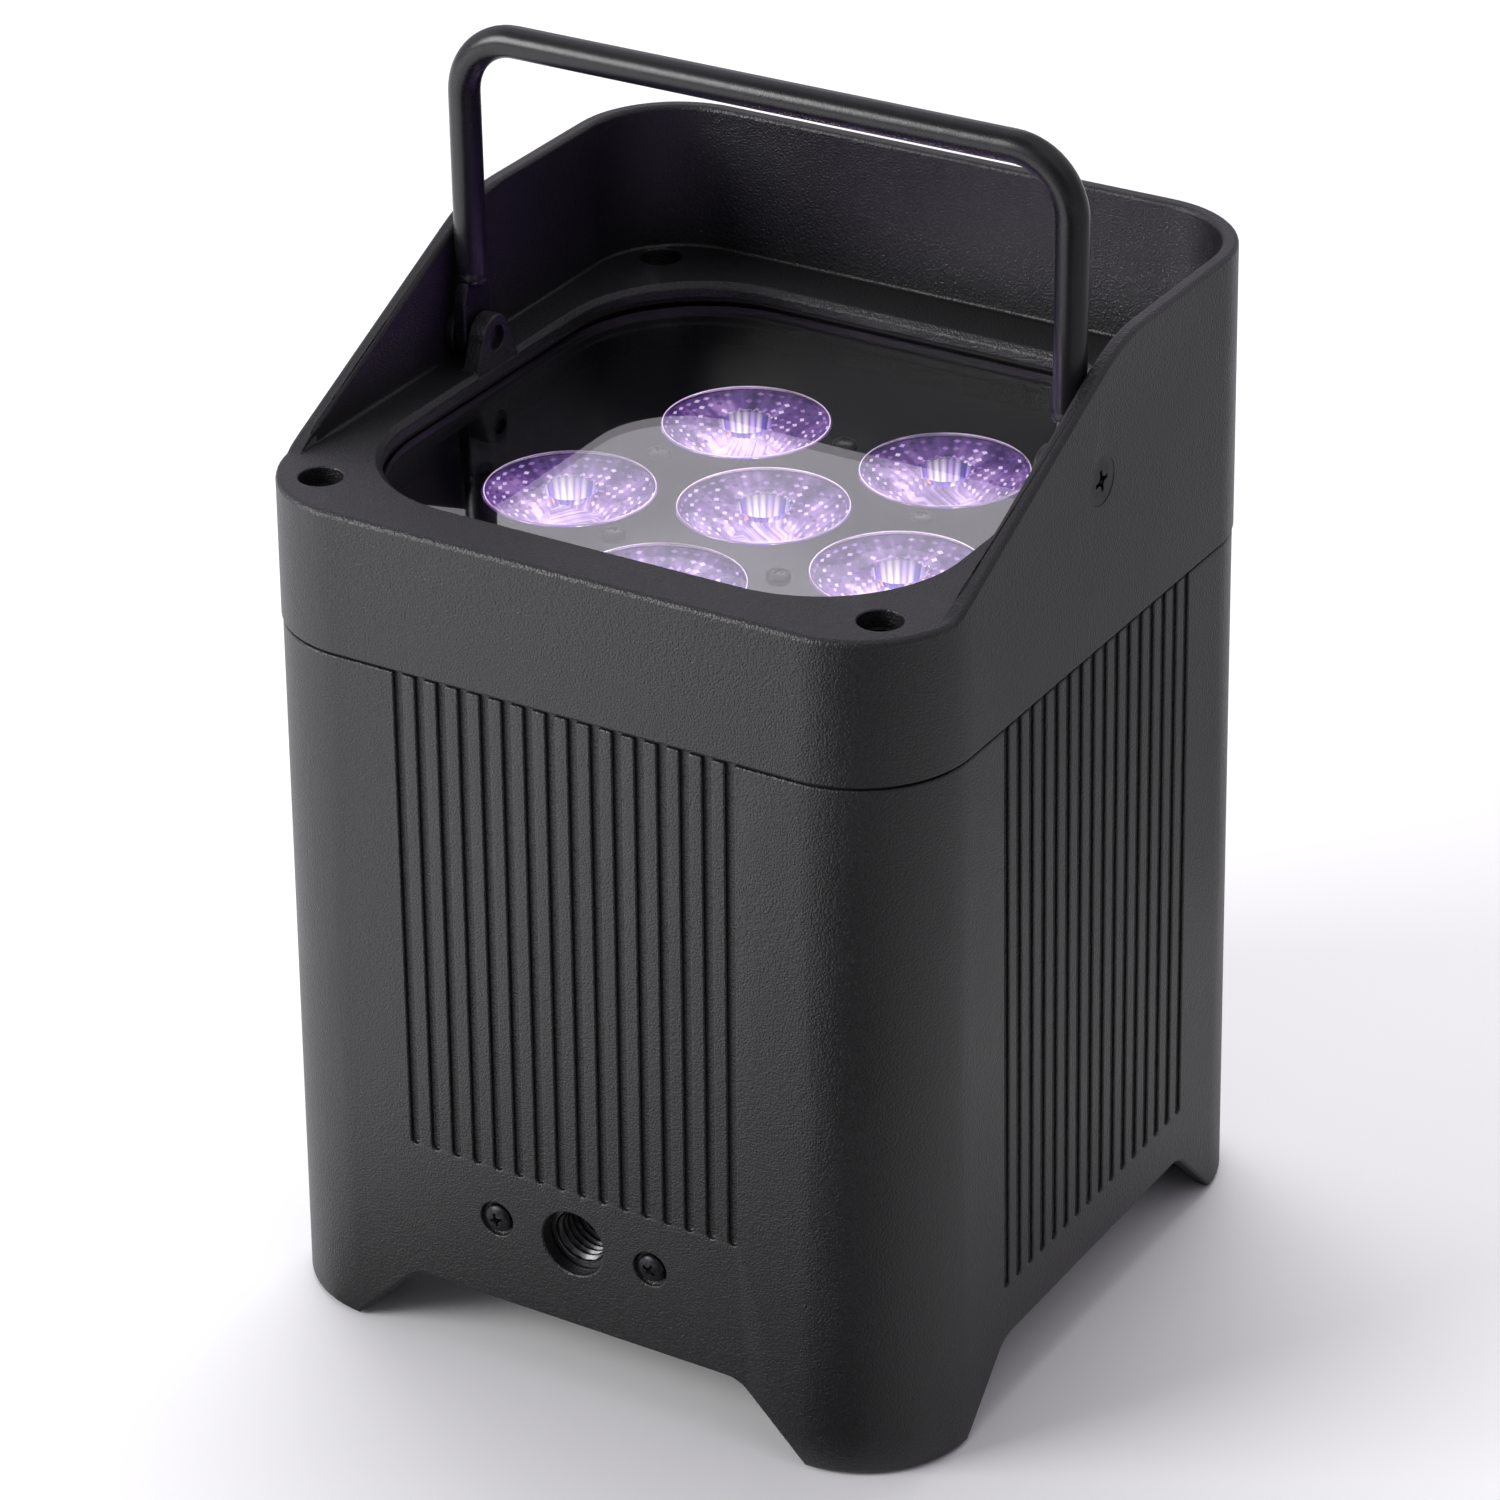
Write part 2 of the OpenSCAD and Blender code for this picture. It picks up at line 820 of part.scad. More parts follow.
module rocker_frame() {
  color(dark) difference() {
    union() {
      box(rocker_x - 9.5, rocker_x + 9.5, 60, panel_out, rocker_z - 6.5, rocker_z + 6.5);
      box(rocker_x - 10.7, rocker_x + 10.7, panel_out, 75.8, rocker_z - 7.7, rocker_z + 7.7);
    }
    box(rocker_x - 8.3, rocker_x + 8.3, 66, 80, rocker_z - 5.6, rocker_z + 5.6);
    bar_x(rocker_y, rocker_z, rocker_x - 9, rocker_x + 9, 1 + fit);
  }
}

module power_rocker() {
  color(dark) {
    translate([rocker_x, rocker_y, rocker_z])
      rotate([rocker_tilt, 0, 0])
        rotate([90, 0, 90])
          linear_extrude(15.8, center = true)
            polygon([[0, -3], [2.2, -4.9], [4.7, -4.9], [3.9, 0], [4.7, 4.9], [2.2, 4.9], [0, 3],
              [-1.8, 0]]);
    bar_x(rocker_y, rocker_z, rocker_x - 8.9, rocker_x + 8.9, 1);
  }
}

module mains_inlet() {
  color(black) difference() {
    union() {
      box(inlet_x - 13.5, inlet_x + 13.5, 52, panel_out, port_z - 10, port_z + 10);
      rear_plate(panel_out, port_face)
        round_rect(inlet_x - 16, inlet_x + 16, port_z - 12.5, port_z + 12.5, 2);
    }
    rear_plate(57, 80)
      polygon([[inlet_x - 12, port_z - 8], [inlet_x + 12, port_z - 8], [inlet_x + 12, port_z + 3.5],
        [inlet_x + 7.5, port_z + 8], [inlet_x - 7.5, port_z + 8], [inlet_x - 12, port_z + 3.5]]);
  }
}

module inlet_blades() {
  color(steel) {
    for (s = [-1, 1])
      box(inlet_x + s * 7 - 1, inlet_x + s * 7 + 1, 57, 73, port_z - 4, port_z);
    box(inlet_x - 1, inlet_x + 1, 57, 74, port_z + 0.5, port_z + 4.5);
  }
}

module port_shell(x) {
  bar_y(x, port_z, 54, panel_out, 11.5);
  rear_plate(panel_out, port_face)
    round_rect(x - 13, x + 13, port_z - 15.5, port_z + 15.5, 3);
}

module port_screw_holes(x) {
  for (s = [-1, 1])
    translate([x + s * 9.5, port_face - 1, port_z + s * 12])
      rotate([-90, 0, 0]) {
        cylinder(h = 1.1, r1 = 1.5 + fit, r2 = 2.6 + fit);
        translate([0, 0, -6]) cylinder(h = 6.1, r = 1.5 + fit);
      }
}

module dmx_in_shell() {
  color(dark) difference() {
    port_shell(dmx_in_x);
    bar_y(dmx_in_x, port_z, 60, 80, 9.6);
    port_screw_holes(dmx_in_x);
  }
}

module dmx_in_pins() {
  color(steel)
    for (a = [-60, 60, 180])
      bar_y(dmx_in_x + 5.2 * sin(a), port_z + 5.2 * cos(a), 60, 73.5, 1.2);
}

module dmx_out_shell() {
  color(dark) difference() {
    port_shell(dmx_out_x);
    bar_y(dmx_out_x, port_z, 60, 80, 9.6);
    // slot for the latch
    box(dmx_out_x - 3.4, dmx_out_x + 3.4, 62, 80, port_z + 8, port_z + 13.1);
    port_screw_holes(dmx_out_x);
  }
}

module dmx_out_insert() {
  color(black) bar_y(dmx_out_x, port_z, 60, 63, 7.6);
}

// A third of the insert's front, parted from the next one through the middle of a pin socket.
module dmx_out_sector(i) {
  color(black) difference() {
    intersection() {
      bar_y(dmx_out_x, port_z, 63, 75.2, 7.6);
      rear_plate(62, 77)
        polygon([for (p = [[0, 0], [-60, 20], [-20, 30], [20, 30], [60, 20]])
          [dmx_out_x + p[1] * sin(120 * i + p[0]), port_z + p[1] * cos(120 * i + p[0])]]);
    }
    for (a = [-60, 60])
      bar_y(dmx_out_x + 5.2 * sin(120 * i + a), port_z + 5.2 * cos(120 * i + a), 62, 80, 1.3);
  }
}

module dmx_latch() {
  color(steel)
    box(dmx_out_x - 3, dmx_out_x + 3, 64, 76.8, port_z + 10.2, port_z + 12.7);
}

module port_screws() {
  color(steel)
    for (x = [dmx_in_x, dmx_out_x], s = [-1, 1])
      translate([x + s * 9.5, port_face - 1, port_z + s * 12])
        rotate([-90, 0, 0])
          difference() {
            union() {
              cylinder(h = 1, r1 = 1.5, r2 = 2.5);
              translate([0, 0, -5]) cylinder(h = 5, r = 1.5);
            }
            translate([0, 0, 1]) cross_recess(2.6, 0.6);
          }
}

housing_body();
top_hood();
seam_gasket();
mouth_gasket();
front_glass();
glass_retainer();
retainer_screws();
hood_screws();
lens_plate();
lens_plate_screws();
plate_pillars();
lens([0, 0, 0]);  // lens_centre
lens(ring_xy(0));  // lens_ring_1
lens(ring_xy(1));  // lens_ring_2
lens(ring_xy(2));  // lens_ring_3
lens(ring_xy(3));  // lens_ring_4
lens(ring_xy(4));  // lens_ring_5
lens_holders();
led_board();
led_emitters();
heat_sink();
sink_screws();
handle_bar();
handle_tab(-1);  // handle_tab_left
handle_tab(1);  // handle_tab_right
pivot_washers();
pivot_screws();
rigging_block();
rigging_screws();
battery_pack();
battery_strap();
driver_board();
driver_parts();
radio_board();
board_standoffs();
wiring();
bottom_cover();
cover_screws();
foot_pads();
control_panel();
panel_screws();
display_window();
control_board();
button_cap(0);  // button_1
button_cap(1);  // button_2
button_cap(2);  // button_3
button_cap(3);  // button_4
ir_window();
rocker_frame();
power_rocker();
mains_inlet();
inlet_blades();
dmx_in_shell();
dmx_in_pins();
dmx_out_shell();
dmx_out_insert();
dmx_out_sector(0);  // dmx_out_sector_1
dmx_out_sector(1);  // dmx_out_sector_2
dmx_out_sector(2);  // dmx_out_sector_3
dmx_latch();
port_screws();
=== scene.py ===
"""A par can light: a satin black uplight with six lit lenses and a folding handle.

Metres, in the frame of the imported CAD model: the front face is at -Y and the floor at Z = 0.
"""
import json
import math

import bmesh
import bpy
from mathutils import Matrix, Quaternion, Vector


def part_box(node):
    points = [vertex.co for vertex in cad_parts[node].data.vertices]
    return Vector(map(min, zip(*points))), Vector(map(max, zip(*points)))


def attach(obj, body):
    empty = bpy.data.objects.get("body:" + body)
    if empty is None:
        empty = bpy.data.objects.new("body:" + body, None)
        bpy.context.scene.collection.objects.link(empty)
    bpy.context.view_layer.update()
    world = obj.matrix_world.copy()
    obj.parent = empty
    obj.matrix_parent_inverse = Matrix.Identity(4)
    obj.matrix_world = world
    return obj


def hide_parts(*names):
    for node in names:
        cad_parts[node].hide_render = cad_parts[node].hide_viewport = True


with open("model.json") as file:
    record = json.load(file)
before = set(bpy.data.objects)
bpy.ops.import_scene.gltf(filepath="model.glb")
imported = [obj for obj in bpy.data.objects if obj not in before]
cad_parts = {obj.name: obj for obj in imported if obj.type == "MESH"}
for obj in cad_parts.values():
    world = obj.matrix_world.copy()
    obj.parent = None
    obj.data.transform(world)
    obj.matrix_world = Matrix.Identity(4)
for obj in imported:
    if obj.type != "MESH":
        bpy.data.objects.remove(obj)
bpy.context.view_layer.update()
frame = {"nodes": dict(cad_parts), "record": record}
nodes = frame["nodes"]

MM = 0.001
TAU = 2 * math.pi
SHARP = math.radians(32)
WELD = 2e-6

# Where the camera stands, in degrees: an azimuth from -Y towards +X and a height above the horizon.
CAMERA_AZIMUTH = 31.35
CAMERA_ELEVATION = 28.24
CAMERA_ROLL = -0.78
CAMERA_DISTANCE = 1.0756
CAMERA_TARGET = Vector((-0.0039, 0.0, 0.1094))
CAMERA_LENS = 127.3


# ---- node materials ----


class Tree:
    """A node tree under construction, with short calls for the nodes it needs."""

    def __init__(self, tree):
        self.tree = tree

    def add(self, kind, **values):
        node = self.tree.nodes.new(kind)
        for key, value in values.items():
            if hasattr(node, key):
                setattr(node, key, value)
            else:
                node.inputs[key.replace("_", " ").title()].default_value = value
        return node

    def link(self, source, target):
        self.tree.links.new(source, target)

    def remap(self, source, low, high, old_low=0.0, old_high=1.0, fade="LINEAR"):
        node = self.add("ShaderNodeMapRange", interpolation_type=fade)
        limits = {"From Min": old_low, "From Max": old_high, "To Min": low, "To Max": high}
        for key, value in limits.items():
            node.inputs[key].default_value = value
        self.link(source, node.inputs["Value"])
        return node.outputs["Result"]

    def math(self, operation, a, b):
        node = self.add("ShaderNodeMath", operation=operation)
        for socket, value in zip(node.inputs, (a, b)):
            if isinstance(value, (int, float)):
                socket.default_value = value
            else:
                self.link(value, socket)
        return node.outputs["Value"]

    def blend(self, first, second, first_share=0.5, second_share=0.5):
        """Two noises added up in the given shares."""
        parts = [self.math("MULTIPLY", first, first_share), self.math("MULTIPLY", second, second_share)]
        return self.math("ADD", *parts)


class Look(Tree):
    """A material under construction."""

    def __init__(self, name):
        self.material = bpy.data.materials.new(name)
        self.material.use_nodes = True
        super().__init__(self.material.node_tree)
        self.shader = self.tree.nodes["Principled BSDF"]
        self.place = self.add("ShaderNodeTexCoord").outputs["Object"]

    def set(self, **values):
        sockets = {socket.name.lower(): socket for socket in self.shader.inputs}
        for key, value in values.items():
            socket = sockets[key.replace("_", " ")]
            socket.default_value = (*value, 1.0) if isinstance(value, tuple) else value

    def noise(self, scale, detail=2.0, stretch=None):
        """Noise with features about 1 / scale metres across."""
        node = self.add("ShaderNodeTexNoise", Scale=scale, Detail=detail)
        where = self.place
        if stretch:
            mapping = self.add("ShaderNodeMapping")
            mapping.inputs["Scale"].default_value = stretch
            self.link(where, mapping.inputs["Vector"])
            where = mapping.outputs["Vector"]
        self.link(where, node.inputs["Vector"])
        return node.outputs["Fac"]

    def ramp(self, source, stops):
        node = self.add("ShaderNodeValToRGB")
        elements = node.color_ramp.elements
        while len(elements) < len(stops):
            elements.new(0.5)
        for element, (position, color) in zip(elements, stops):
            element.position = position
            element.color = (*color, 1.0) if len(color) == 3 else color
        self.link(source, node.inputs["Fac"])
        return node.outputs["Color"]

    def color(self, source, stops):
        self.link(self.ramp(source, stops), self.shader.inputs["Base Color"])

    def rough(self, source, low, high):
        self.link(self.remap(source, low, high, 0.3, 0.7), self.shader.inputs["Roughness"])

    def bump(self, *layers):
        """Each layer is (height, depth in metres); the layers add up."""
        normal = None
        for height, depth in layers:
            node = self.add("ShaderNodeBump", Distance=depth)
            node.inputs["Strength"].default_value = 1.0
            self.link(height, node.inputs["Height"])
            if normal:
                self.link(normal, node.inputs["Normal"])
            normal = node.outputs["Normal"]
        self.link(normal, self.shader.inputs["Normal"])

    def worn_and_highlighted_edges(self, source, start=0.53, end=0.60):
        """0 on flat surfaces and 1 on convex edges, broken up by a noise: edge wear and a painted highlight
        in one mask.
        """
        edge = self.add("ShaderNodeNewGeometry").outputs["Pointiness"]
        return self.math("MULTIPLY", self.remap(edge, 0.0, 1.0, start, end), source)


def powder_coat(name, dark, light, rough=(0.36, 0.50), grain=0.0002):
    """Sprayed powder: a fine pebbled grain over a faint orange peel, lighter at the convex edges, partly
    from wear and partly as a painted highlight.
    """
    look = Look(name)
    cloud = look.noise(14.0, 3.0)
    peel = look.noise(420.0, 2.0)
    pebble = look.noise(2300.0, 1.0)
    wear_and_highlight = look.worn_and_highlighted_edges(look.noise(160.0, 3.0))
    tone = look.math("ADD", look.blend(cloud, pebble, 0.4, 0.6), look.math("MULTIPLY", wear_and_highlight, 0.5))
    # The top stop, 2.2 times the light tone, is reached on the convex edges: partly wear, partly a painted
    # highlight.
    look.color(tone, [(0.3, dark), (0.7, light), (1.0, tuple(2.2 * c for c in light))])
    look.rough(look.blend(cloud, pebble), *rough)
    look.bump((peel, 0.00005), (pebble, grain))
    look.set(specular_ior_level=0.64)
    return look.material


def smooth_paint(name, dark, light, rough=(0.24, 0.36)):
    """Semi-gloss paint on bent steel, with a long soft ripple."""
    look = Look(name)
    cloud = look.noise(30.0, 3.0)
    ripple = look.noise(240.0, 2.0)
    fine = look.noise(2600.0, 1.0)
    # The convex edges are lightened up to 2.5 times the light tone: partly wear, partly a painted highlight.
    wear_and_highlight = look.worn_and_highlighted_edges(look.noise(260.0, 3.0), 0.55, 0.66)
    look.color(look.math("ADD", cloud, look.math("MULTIPLY", wear_and_highlight, 0.4)),
               [(0.3, dark), (0.7, light), (1.0, tuple(2.5 * c for c in light))])
    look.rough(look.blend(cloud, fine, 0.6, 0.4), *rough)
    look.bump((ripple, 0.00006), (fine, 0.00001))
    return look.material


def plain_metal(name, dark, light, rough=(0.25, 0.4), brushed=None, metallic=1.0):
    """Bare or plated metal, brushed along one axis where brushed gives the stretch."""
    look = Look(name)
    grain = look.noise(900.0, 4.0, brushed or (1.0, 1.0, 1.0))
    smudge = look.noise(60.0, 3.0)
    # The convex edges are lightened: partly wear, partly a painted highlight.
    wear_and_highlight = look.worn_and_highlighted_edges(smudge)
    look.color(look.blend(grain, wear_and_highlight, 0.7, 0.6), [(0.2, dark), (0.6, light)])
    look.rough(look.blend(grain, smudge), *rough)
    look.bump((grain, 0.00001))
    look.set(metallic=metallic)
    return look.material


def moulded(name, dark, light, rough=(0.35, 0.5), grain=0.00003, clear=0.0):
    """Injection-moulded plastic or rubber with a fine spark-eroded grain."""
    look = Look(name)
    cloud = look.noise(45.0, 2.0)
    grit = look.noise(3200.0, 1.0)
    look.color(look.blend(cloud, grit), [(0.3, dark), (0.7, light)])
    look.rough(grit, *rough)
    look.bump((grit, grain))
    look.set(coat_weight=clear, coat_roughness=0.05)
    return look.material


def clear_pane(name):
    """Float glass with a faint green body and a trace of dust."""
    look = Look(name)
    dust = look.noise(700.0, 3.0)
    look.color(dust, [(0.3, (0.97, 0.985, 0.98)), (0.8, (0.99, 0.99, 1.0))])
    look.link(look.remap(dust, 0.0, 0.008, 0.62, 0.8), look.shader.inputs["Roughness"])
    look.set(transmission_weight=1.0, ior=1.52)
    return look.material


def clear_acrylic(name):
    """Optical acrylic with a slight moulding ripple."""
    look = Look(name)
    ripple = look.noise(320.0, 1.0)
    look.color(ripple, [(0.3, (0.95, 0.93, 1.0)), (0.7, (1.0, 0.99, 1.0))])
    look.link(look.remap(ripple, 0.0, 0.006), look.shader.inputs["Roughness"])
    look.bump((ripple, 0.000006))
    look.set(transmission_weight=1.0, ior=1.49)
    return look.material


def glow(name, color, strength, spread=0.35, scale=900.0, dim=0.55):
    """A lit surface whose brightness varies a little."""
    look = Look(name)
    flicker = look.noise(scale, 2.0)
    tone = tuple(c * dim for c in color)
    mixed = look.ramp(flicker, [(0.5 - spread, tone), (0.5 + spread, color)])
    look.link(mixed, look.shader.inputs["Emission Color"])
    look.link(mixed, look.shader.inputs["Base Color"])
    look.set(emission_strength=strength, roughness=0.4)
    return look.material


def circuit_board(name, dark, light):
    """Solder mask with faint tracks under it."""
    look = Look(name)
    track = look.add("ShaderNodeTexVoronoi", feature="DISTANCE_TO_EDGE", Scale=160.0)
    look.link(look.place, track.inputs["Vector"])
    look.color(track.outputs["Distance"], [(0.03, light), (0.12, dark)])
    look.rough(look.noise(500.0), 0.25, 0.45)
    look.bump((track.outputs["Distance"], 0.00003))
    return look.material


COAT = powder_coat("black_powder_coat", (0.0026, 0.0025, 0.0029), (0.0105, 0.0101, 0.0114))
BAR = smooth_paint("black_bar_paint", (0.0045, 0.0045, 0.005), (0.0085, 0.0085, 0.0095))
SHEET = powder_coat("black_sheet_paint", (0.005, 0.005, 0.0055), (0.0085, 0.0085, 0.009), (0.42, 0.55),
                    0.00003)
SCREW = plain_metal("black_oxide", (0.015, 0.015, 0.017), (0.06, 0.06, 0.065), (0.28, 0.45), metallic=0.9)
STEEL = plain_metal("zinc_steel", (0.34, 0.34, 0.35), (0.62, 0.62, 0.64), (0.2, 0.38))
DARK_STEEL = plain_metal("threaded_steel", (0.05, 0.05, 0.052), (0.16, 0.16, 0.165), (0.25, 0.4))
ALUMINIUM = plain_metal("extruded_aluminium", (0.55, 0.56, 0.58), (0.82, 0.83, 0.85), (0.25, 0.4),
                        (0.05, 0.05, 1.0))
BRASS = plain_metal("plated_brass", (0.55, 0.38, 0.14), (0.85, 0.66, 0.32), (0.15, 0.3))
PLASTIC = moulded("black_plastic", (0.004, 0.004, 0.0045), (0.009, 0.009, 0.010))
GLOSS = moulded("gloss_black", (0.004, 0.004, 0.006), (0.008, 0.008, 0.011), (0.06, 0.14), 0.000004, 0.5)
LENS_PLATE = moulded("lens_plate_black", (0.002, 0.002, 0.003), (0.005, 0.0045, 0.007), (0.10, 0.17),
                     0.000008)
RUBBER = moulded("black_rubber", (0.006, 0.006, 0.006), (0.014, 0.014, 0.014), (0.7, 0.85), 0.00005)
WRAP = moulded("blue_wrap", (0.01, 0.04, 0.16), (0.02, 0.07, 0.26), (0.2, 0.32), 0.00001, 0.3)
WIRE = moulded("red_wire", (0.20, 0.012, 0.01), (0.30, 0.02, 0.018), (0.35, 0.5), 0.00001)
BOARD = circuit_board("green_board", (0.008, 0.06, 0.025), (0.02, 0.13, 0.05))
WHITE_BOARD = circuit_board("white_board", (0.62, 0.60, 0.58), (0.75, 0.73, 0.70))
GLASS = clear_pane("front_glass")
ACRYLIC = clear_acrylic("lens_acrylic")

SLOT_LOOKS = {
    "black_cast": COAT, "black_steel": SHEET, "rubber": RUBBER, "glass": GLASS, "lens": ACRYLIC,
    "black_plastic": PLASTIC, "gloss_black": GLOSS, "steel": STEEL, "black_screw": SCREW,
    "aluminium": ALUMINIUM, "board": BOARD, "board_white": WHITE_BOARD, "brass": BRASS,
    "emitter": BRASS, "cell_wrap": WRAP, "wire": WIRE,
}


# ---- mesh helpers ----

SLOTS = {s["node"]: s["material_slot"] for s in frame["record"]["subparts"]}
BODIES = {n: b for b, members in frame["record"]["behaviour"]["bodies"].items() for n in members}

# Each turns a shape drawn along +Z so that it points along the named axis.
TURNS = {
    "Z": Matrix(((1, 0, 0), (0, 1, 0), (0, 0, 1))),
    "-Z": Matrix(((1, 0, 0), (0, -1, 0), (0, 0, -1))),
    "Y": Matrix(((1, 0, 0), (0, 0, 1), (0, -1, 0))),
    "-Y": Matrix(((1, 0, 0), (0, 0, -1), (0, 1, 0))),
    "X": Matrix(((0, 0, 1), (0, 1, 0), (-1, 0, 0))),
    "-X": Matrix(((0, 0, -1), (0, 1, 0), (1, 0, 0))),
}


def box_mm(node):
    """A CAD node's lowest and highest corners, in millimetres."""
    low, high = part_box(node)
    return low / MM, high / MM


def middle_mm(node):
    low, high = box_mm(node)
    return (low + high) / 2


def object_from(bm, name, materials=()):
    """Puts a bmesh into the scene as an object."""
    mesh = bpy.data.meshes.new(name)
    bm.to_mesh(mesh)
    bm.free()
    for material in materials:
        mesh.materials.append(material)
    item = bpy.data.objects.new(name, mesh)
    bpy.context.scene.collection.objects.link(item)
    return item


def new_piece(name, bm, like, materials, stands_for=(), smooth=True, even=True):
    """Turns a bmesh into a piece with the body of a CAD node, evenly shaded on its flat faces."""
    piece = object_from(bm, name, materials)
    if smooth:
        piece.data.shade_smooth()
        piece.data.set_sharp_from_angle(angle=SHARP)
    if smooth and even:
        modifier = piece.modifiers.new("even_normals", "WEIGHTED_NORMAL")
        modifier.keep_sharp = True
    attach(piece, BODIES[like])
    if stands_for:
        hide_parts(*stands_for)
    return piece


def clean_copy(node):
    """A CAD node's mesh with its doubled corners welded."""
    bm = bmesh.new()
    bm.from_mesh(nodes[node].data)
    bmesh.ops.remove_doubles(bm, verts=bm.verts, dist=WELD)
    return bm


def weigh_edges(bm, widest, width_at):
    """Marks each sharp edge with its rounding, as a share of the widest one."""
    layer = bm.edges.layers.float.new("bevel_weight_edge")
    for edge in bm.edges:
        if len(edge.link_faces) == 2 and edge.calc_face_angle(0.0) > SHARP:
            middle = (edge.verts[0].co + edge.verts[1].co) / (2 * MM)
            edge[layer] = width_at(middle) / widest


def rounded(node, width, material=None, name=None, width_at=None, segments=2, splits=()):
    """A finished copy of a CAD node with rounded edges, standing for it. Widths are in millimetres.

    Edges are split at each Y in splits, so that a rounding can taper there.
    """
    bm = clean_copy(node)
    for y in splits:
        everything = bm.verts[:] + bm.edges[:] + bm.faces[:]
        bmesh.ops.bisect_plane(bm, geom=everything, plane_co=(0, y * MM, 0), plane_no=(0, 1, 0), dist=WELD)
    weigh_edges(bm, width, width_at or (lambda middle: width))
    name = name or node + "_finished"
    finish = material or SLOT_LOOKS[SLOTS[node]]
    piece = new_piece(name, bm, node, [finish], (node,), even=False)
    bevel = piece.modifiers.new("rounding", "BEVEL")
    bevel.width = width * MM
    bevel.segments = segments
    bevel.limit_method = "WEIGHT"
    bevel.use_clamp_overlap = False
    bevel.miter_outer = "MITER_SHARP"
    bevel.loop_slide = False
    bevel.face_strength_mode = "FSTR_ALL"
    modifier = piece.modifiers.new("even_normals", "WEIGHTED_NORMAL")
    modifier.keep_sharp = True
    modifier.use_face_influence = True
    return piece


def skin(bm, rings, closed=True, material=0):
    """Joins rings of points, in millimetres, into one surface and returns its rows of corners."""
    rows = [[bm.verts.new(point * MM) for point in ring] for ring in rings]
    for low, high in zip(rows, rows[1:]):
        count = len(low)
        for i in range(count if closed else count - 1):
            j = (i + 1) % count
            face = bm.faces.new((low[i], low[j], high[j], high[i]))
            face.material_index = material
    return rows


def lathe(bm, profile, place=(0, 0, 0), axis="Z", segments=48, material=0, wobble=None, caps=(True, True)):
    """Turns (radius, height) pairs, in millimetres, round an axis through place."""
    rings = []
    for radius, height in profile:
        ring = []
        for i in range(segments):
            angle = TAU * i / segments
            reach = wobble(radius, height, angle) if wobble else radius
            local = Vector((reach * math.cos(angle), reach * math.sin(angle), height))
            ring.append(Vector(place) + TURNS[axis] @ local)
        rings.append(ring)
    rows = skin(bm, rings, True, material)
    if caps[0]:
        bm.faces.new(rows[0][::-1]).material_index = material
    if caps[1]:
        bm.faces.new(rows[-1]).material_index = material
    return rows


def slab(bm, low, high, material=0):
    """A plain block between two corners, in millimetres, for small marks and chips."""
    corners = [bm.verts.new(Vector((x, y, z)) * MM)
               for x in (low[0], high[0]) for y in (low[1], high[1]) for z in (low[2], high[2])]
    for loop in ((0, 1, 3, 2), (4, 6, 7, 5), (0, 4, 5, 1), (2, 3, 7, 6), (0, 2, 6, 4), (1, 5, 7, 3)):
        bm.faces.new([corners[i] for i in loop]).material_index = material


def face_outward(bm):
    bmesh.ops.recalc_face_normals(bm, faces=bm.faces)


def cut(bm, cutter):
    """The first shape with the second taken out of it."""
    face_outward(bm)
    face_outward(cutter)
    shape, tool = object_from(bm, "working_shape"), object_from(cutter, "working_shape")
    modifier = shape.modifiers.new("cut", "BOOLEAN")
    modifier.operation = "DIFFERENCE"
    modifier.solver = "EXACT"
    modifier.object = tool
    bpy.context.view_layer.update()
    result = bmesh.new()
    result.from_mesh(shape.evaluated_get(bpy.context.evaluated_depsgraph_get()).to_mesh())
    for item in (shape, tool):
        mesh = item.data
        bpy.data.objects.remove(item)
        bpy.data.meshes.remove(mesh)
    return result


# How far a cutting shape stands above the face that it cuts, in millimetres.
CUT_ABOVE = 0.4


def tapered_bar(length, thickness, depth, top, spin):
    """One arm pair of a cross recess, narrower at the bottom than above the head's top."""
    bm = bmesh.new()
    rings = []
    for level, share in ((top - depth, 0.42), (top + CUT_ABOVE, 1.08)):
        half_l = share * length / 2
        half_t = thickness / 2 * (0.75 + 0.25 * share)
        outline = ((-half_l, -half_t), (half_l, -half_t), (half_l, half_t), (-half_l, half_t))
        rings.append([Matrix.Rotation(spin, 3, "Z") @ Vector((x, y, level)) for x, y in outline])
    rows = skin(bm, rings)
    bm.faces.new(rows[0][::-1])
    bm.faces.new(rows[1])
    return bm


def cross_cut(bm, length, thickness, depth, top):
    """Takes a cross recess with a small pointed well out of a screw head."""
    for spin in (0.0, math.pi / 2):
        bm = cut(bm, tapered_bar(length, thickness, depth, top, spin))
    well = bmesh.new()
    lathe(well, [(0.1, top - depth * 1.25), (length * 0.2, top - depth * 0.55),
                 (length * 0.24, top + CUT_ABOVE)], segments=16)
    return cut(bm, well)


def hex_cut(bm, across_corners, depth, top):
    """Takes a hexagonal socket with a pointed floor out of a screw head."""
    reach = across_corners / 2
    tool = bmesh.new()
    lathe(tool, [(0.2, top - depth - 0.9), (reach, top - depth), (reach, top + CUT_ABOVE)], segments=6)
    return cut(bm, tool)


# ---- castings ----

SEAM_Z = (box_mm("housing_body")[1].z + box_mm("top_hood")[0].z) / 2
SEAM_HALF = box_mm("seam_gasket")[1].x + 0.7
CORNER_RADIUS = 23.4
HALF_CORNER = SEAM_HALF - CORNER_RADIUS
DRAFT = 0.013
LIP_TOP = 182.7
LIP_UNDER = box_mm("mouth_gasket")[1].z
CHAMFER_FOOT = LIP_TOP - 1.2
EAR_X = (62.0, 66.0)
BOSS = 62.0
SLOPE_SPLITS = (-49.0, -43.0)
PIVOT_Z = 188.0
PIVOT_OUTSIDE = 69.0
PIVOT_SINK = 5.6
PIVOT_BORE = 3.2
SCREW_WELL = 5.2


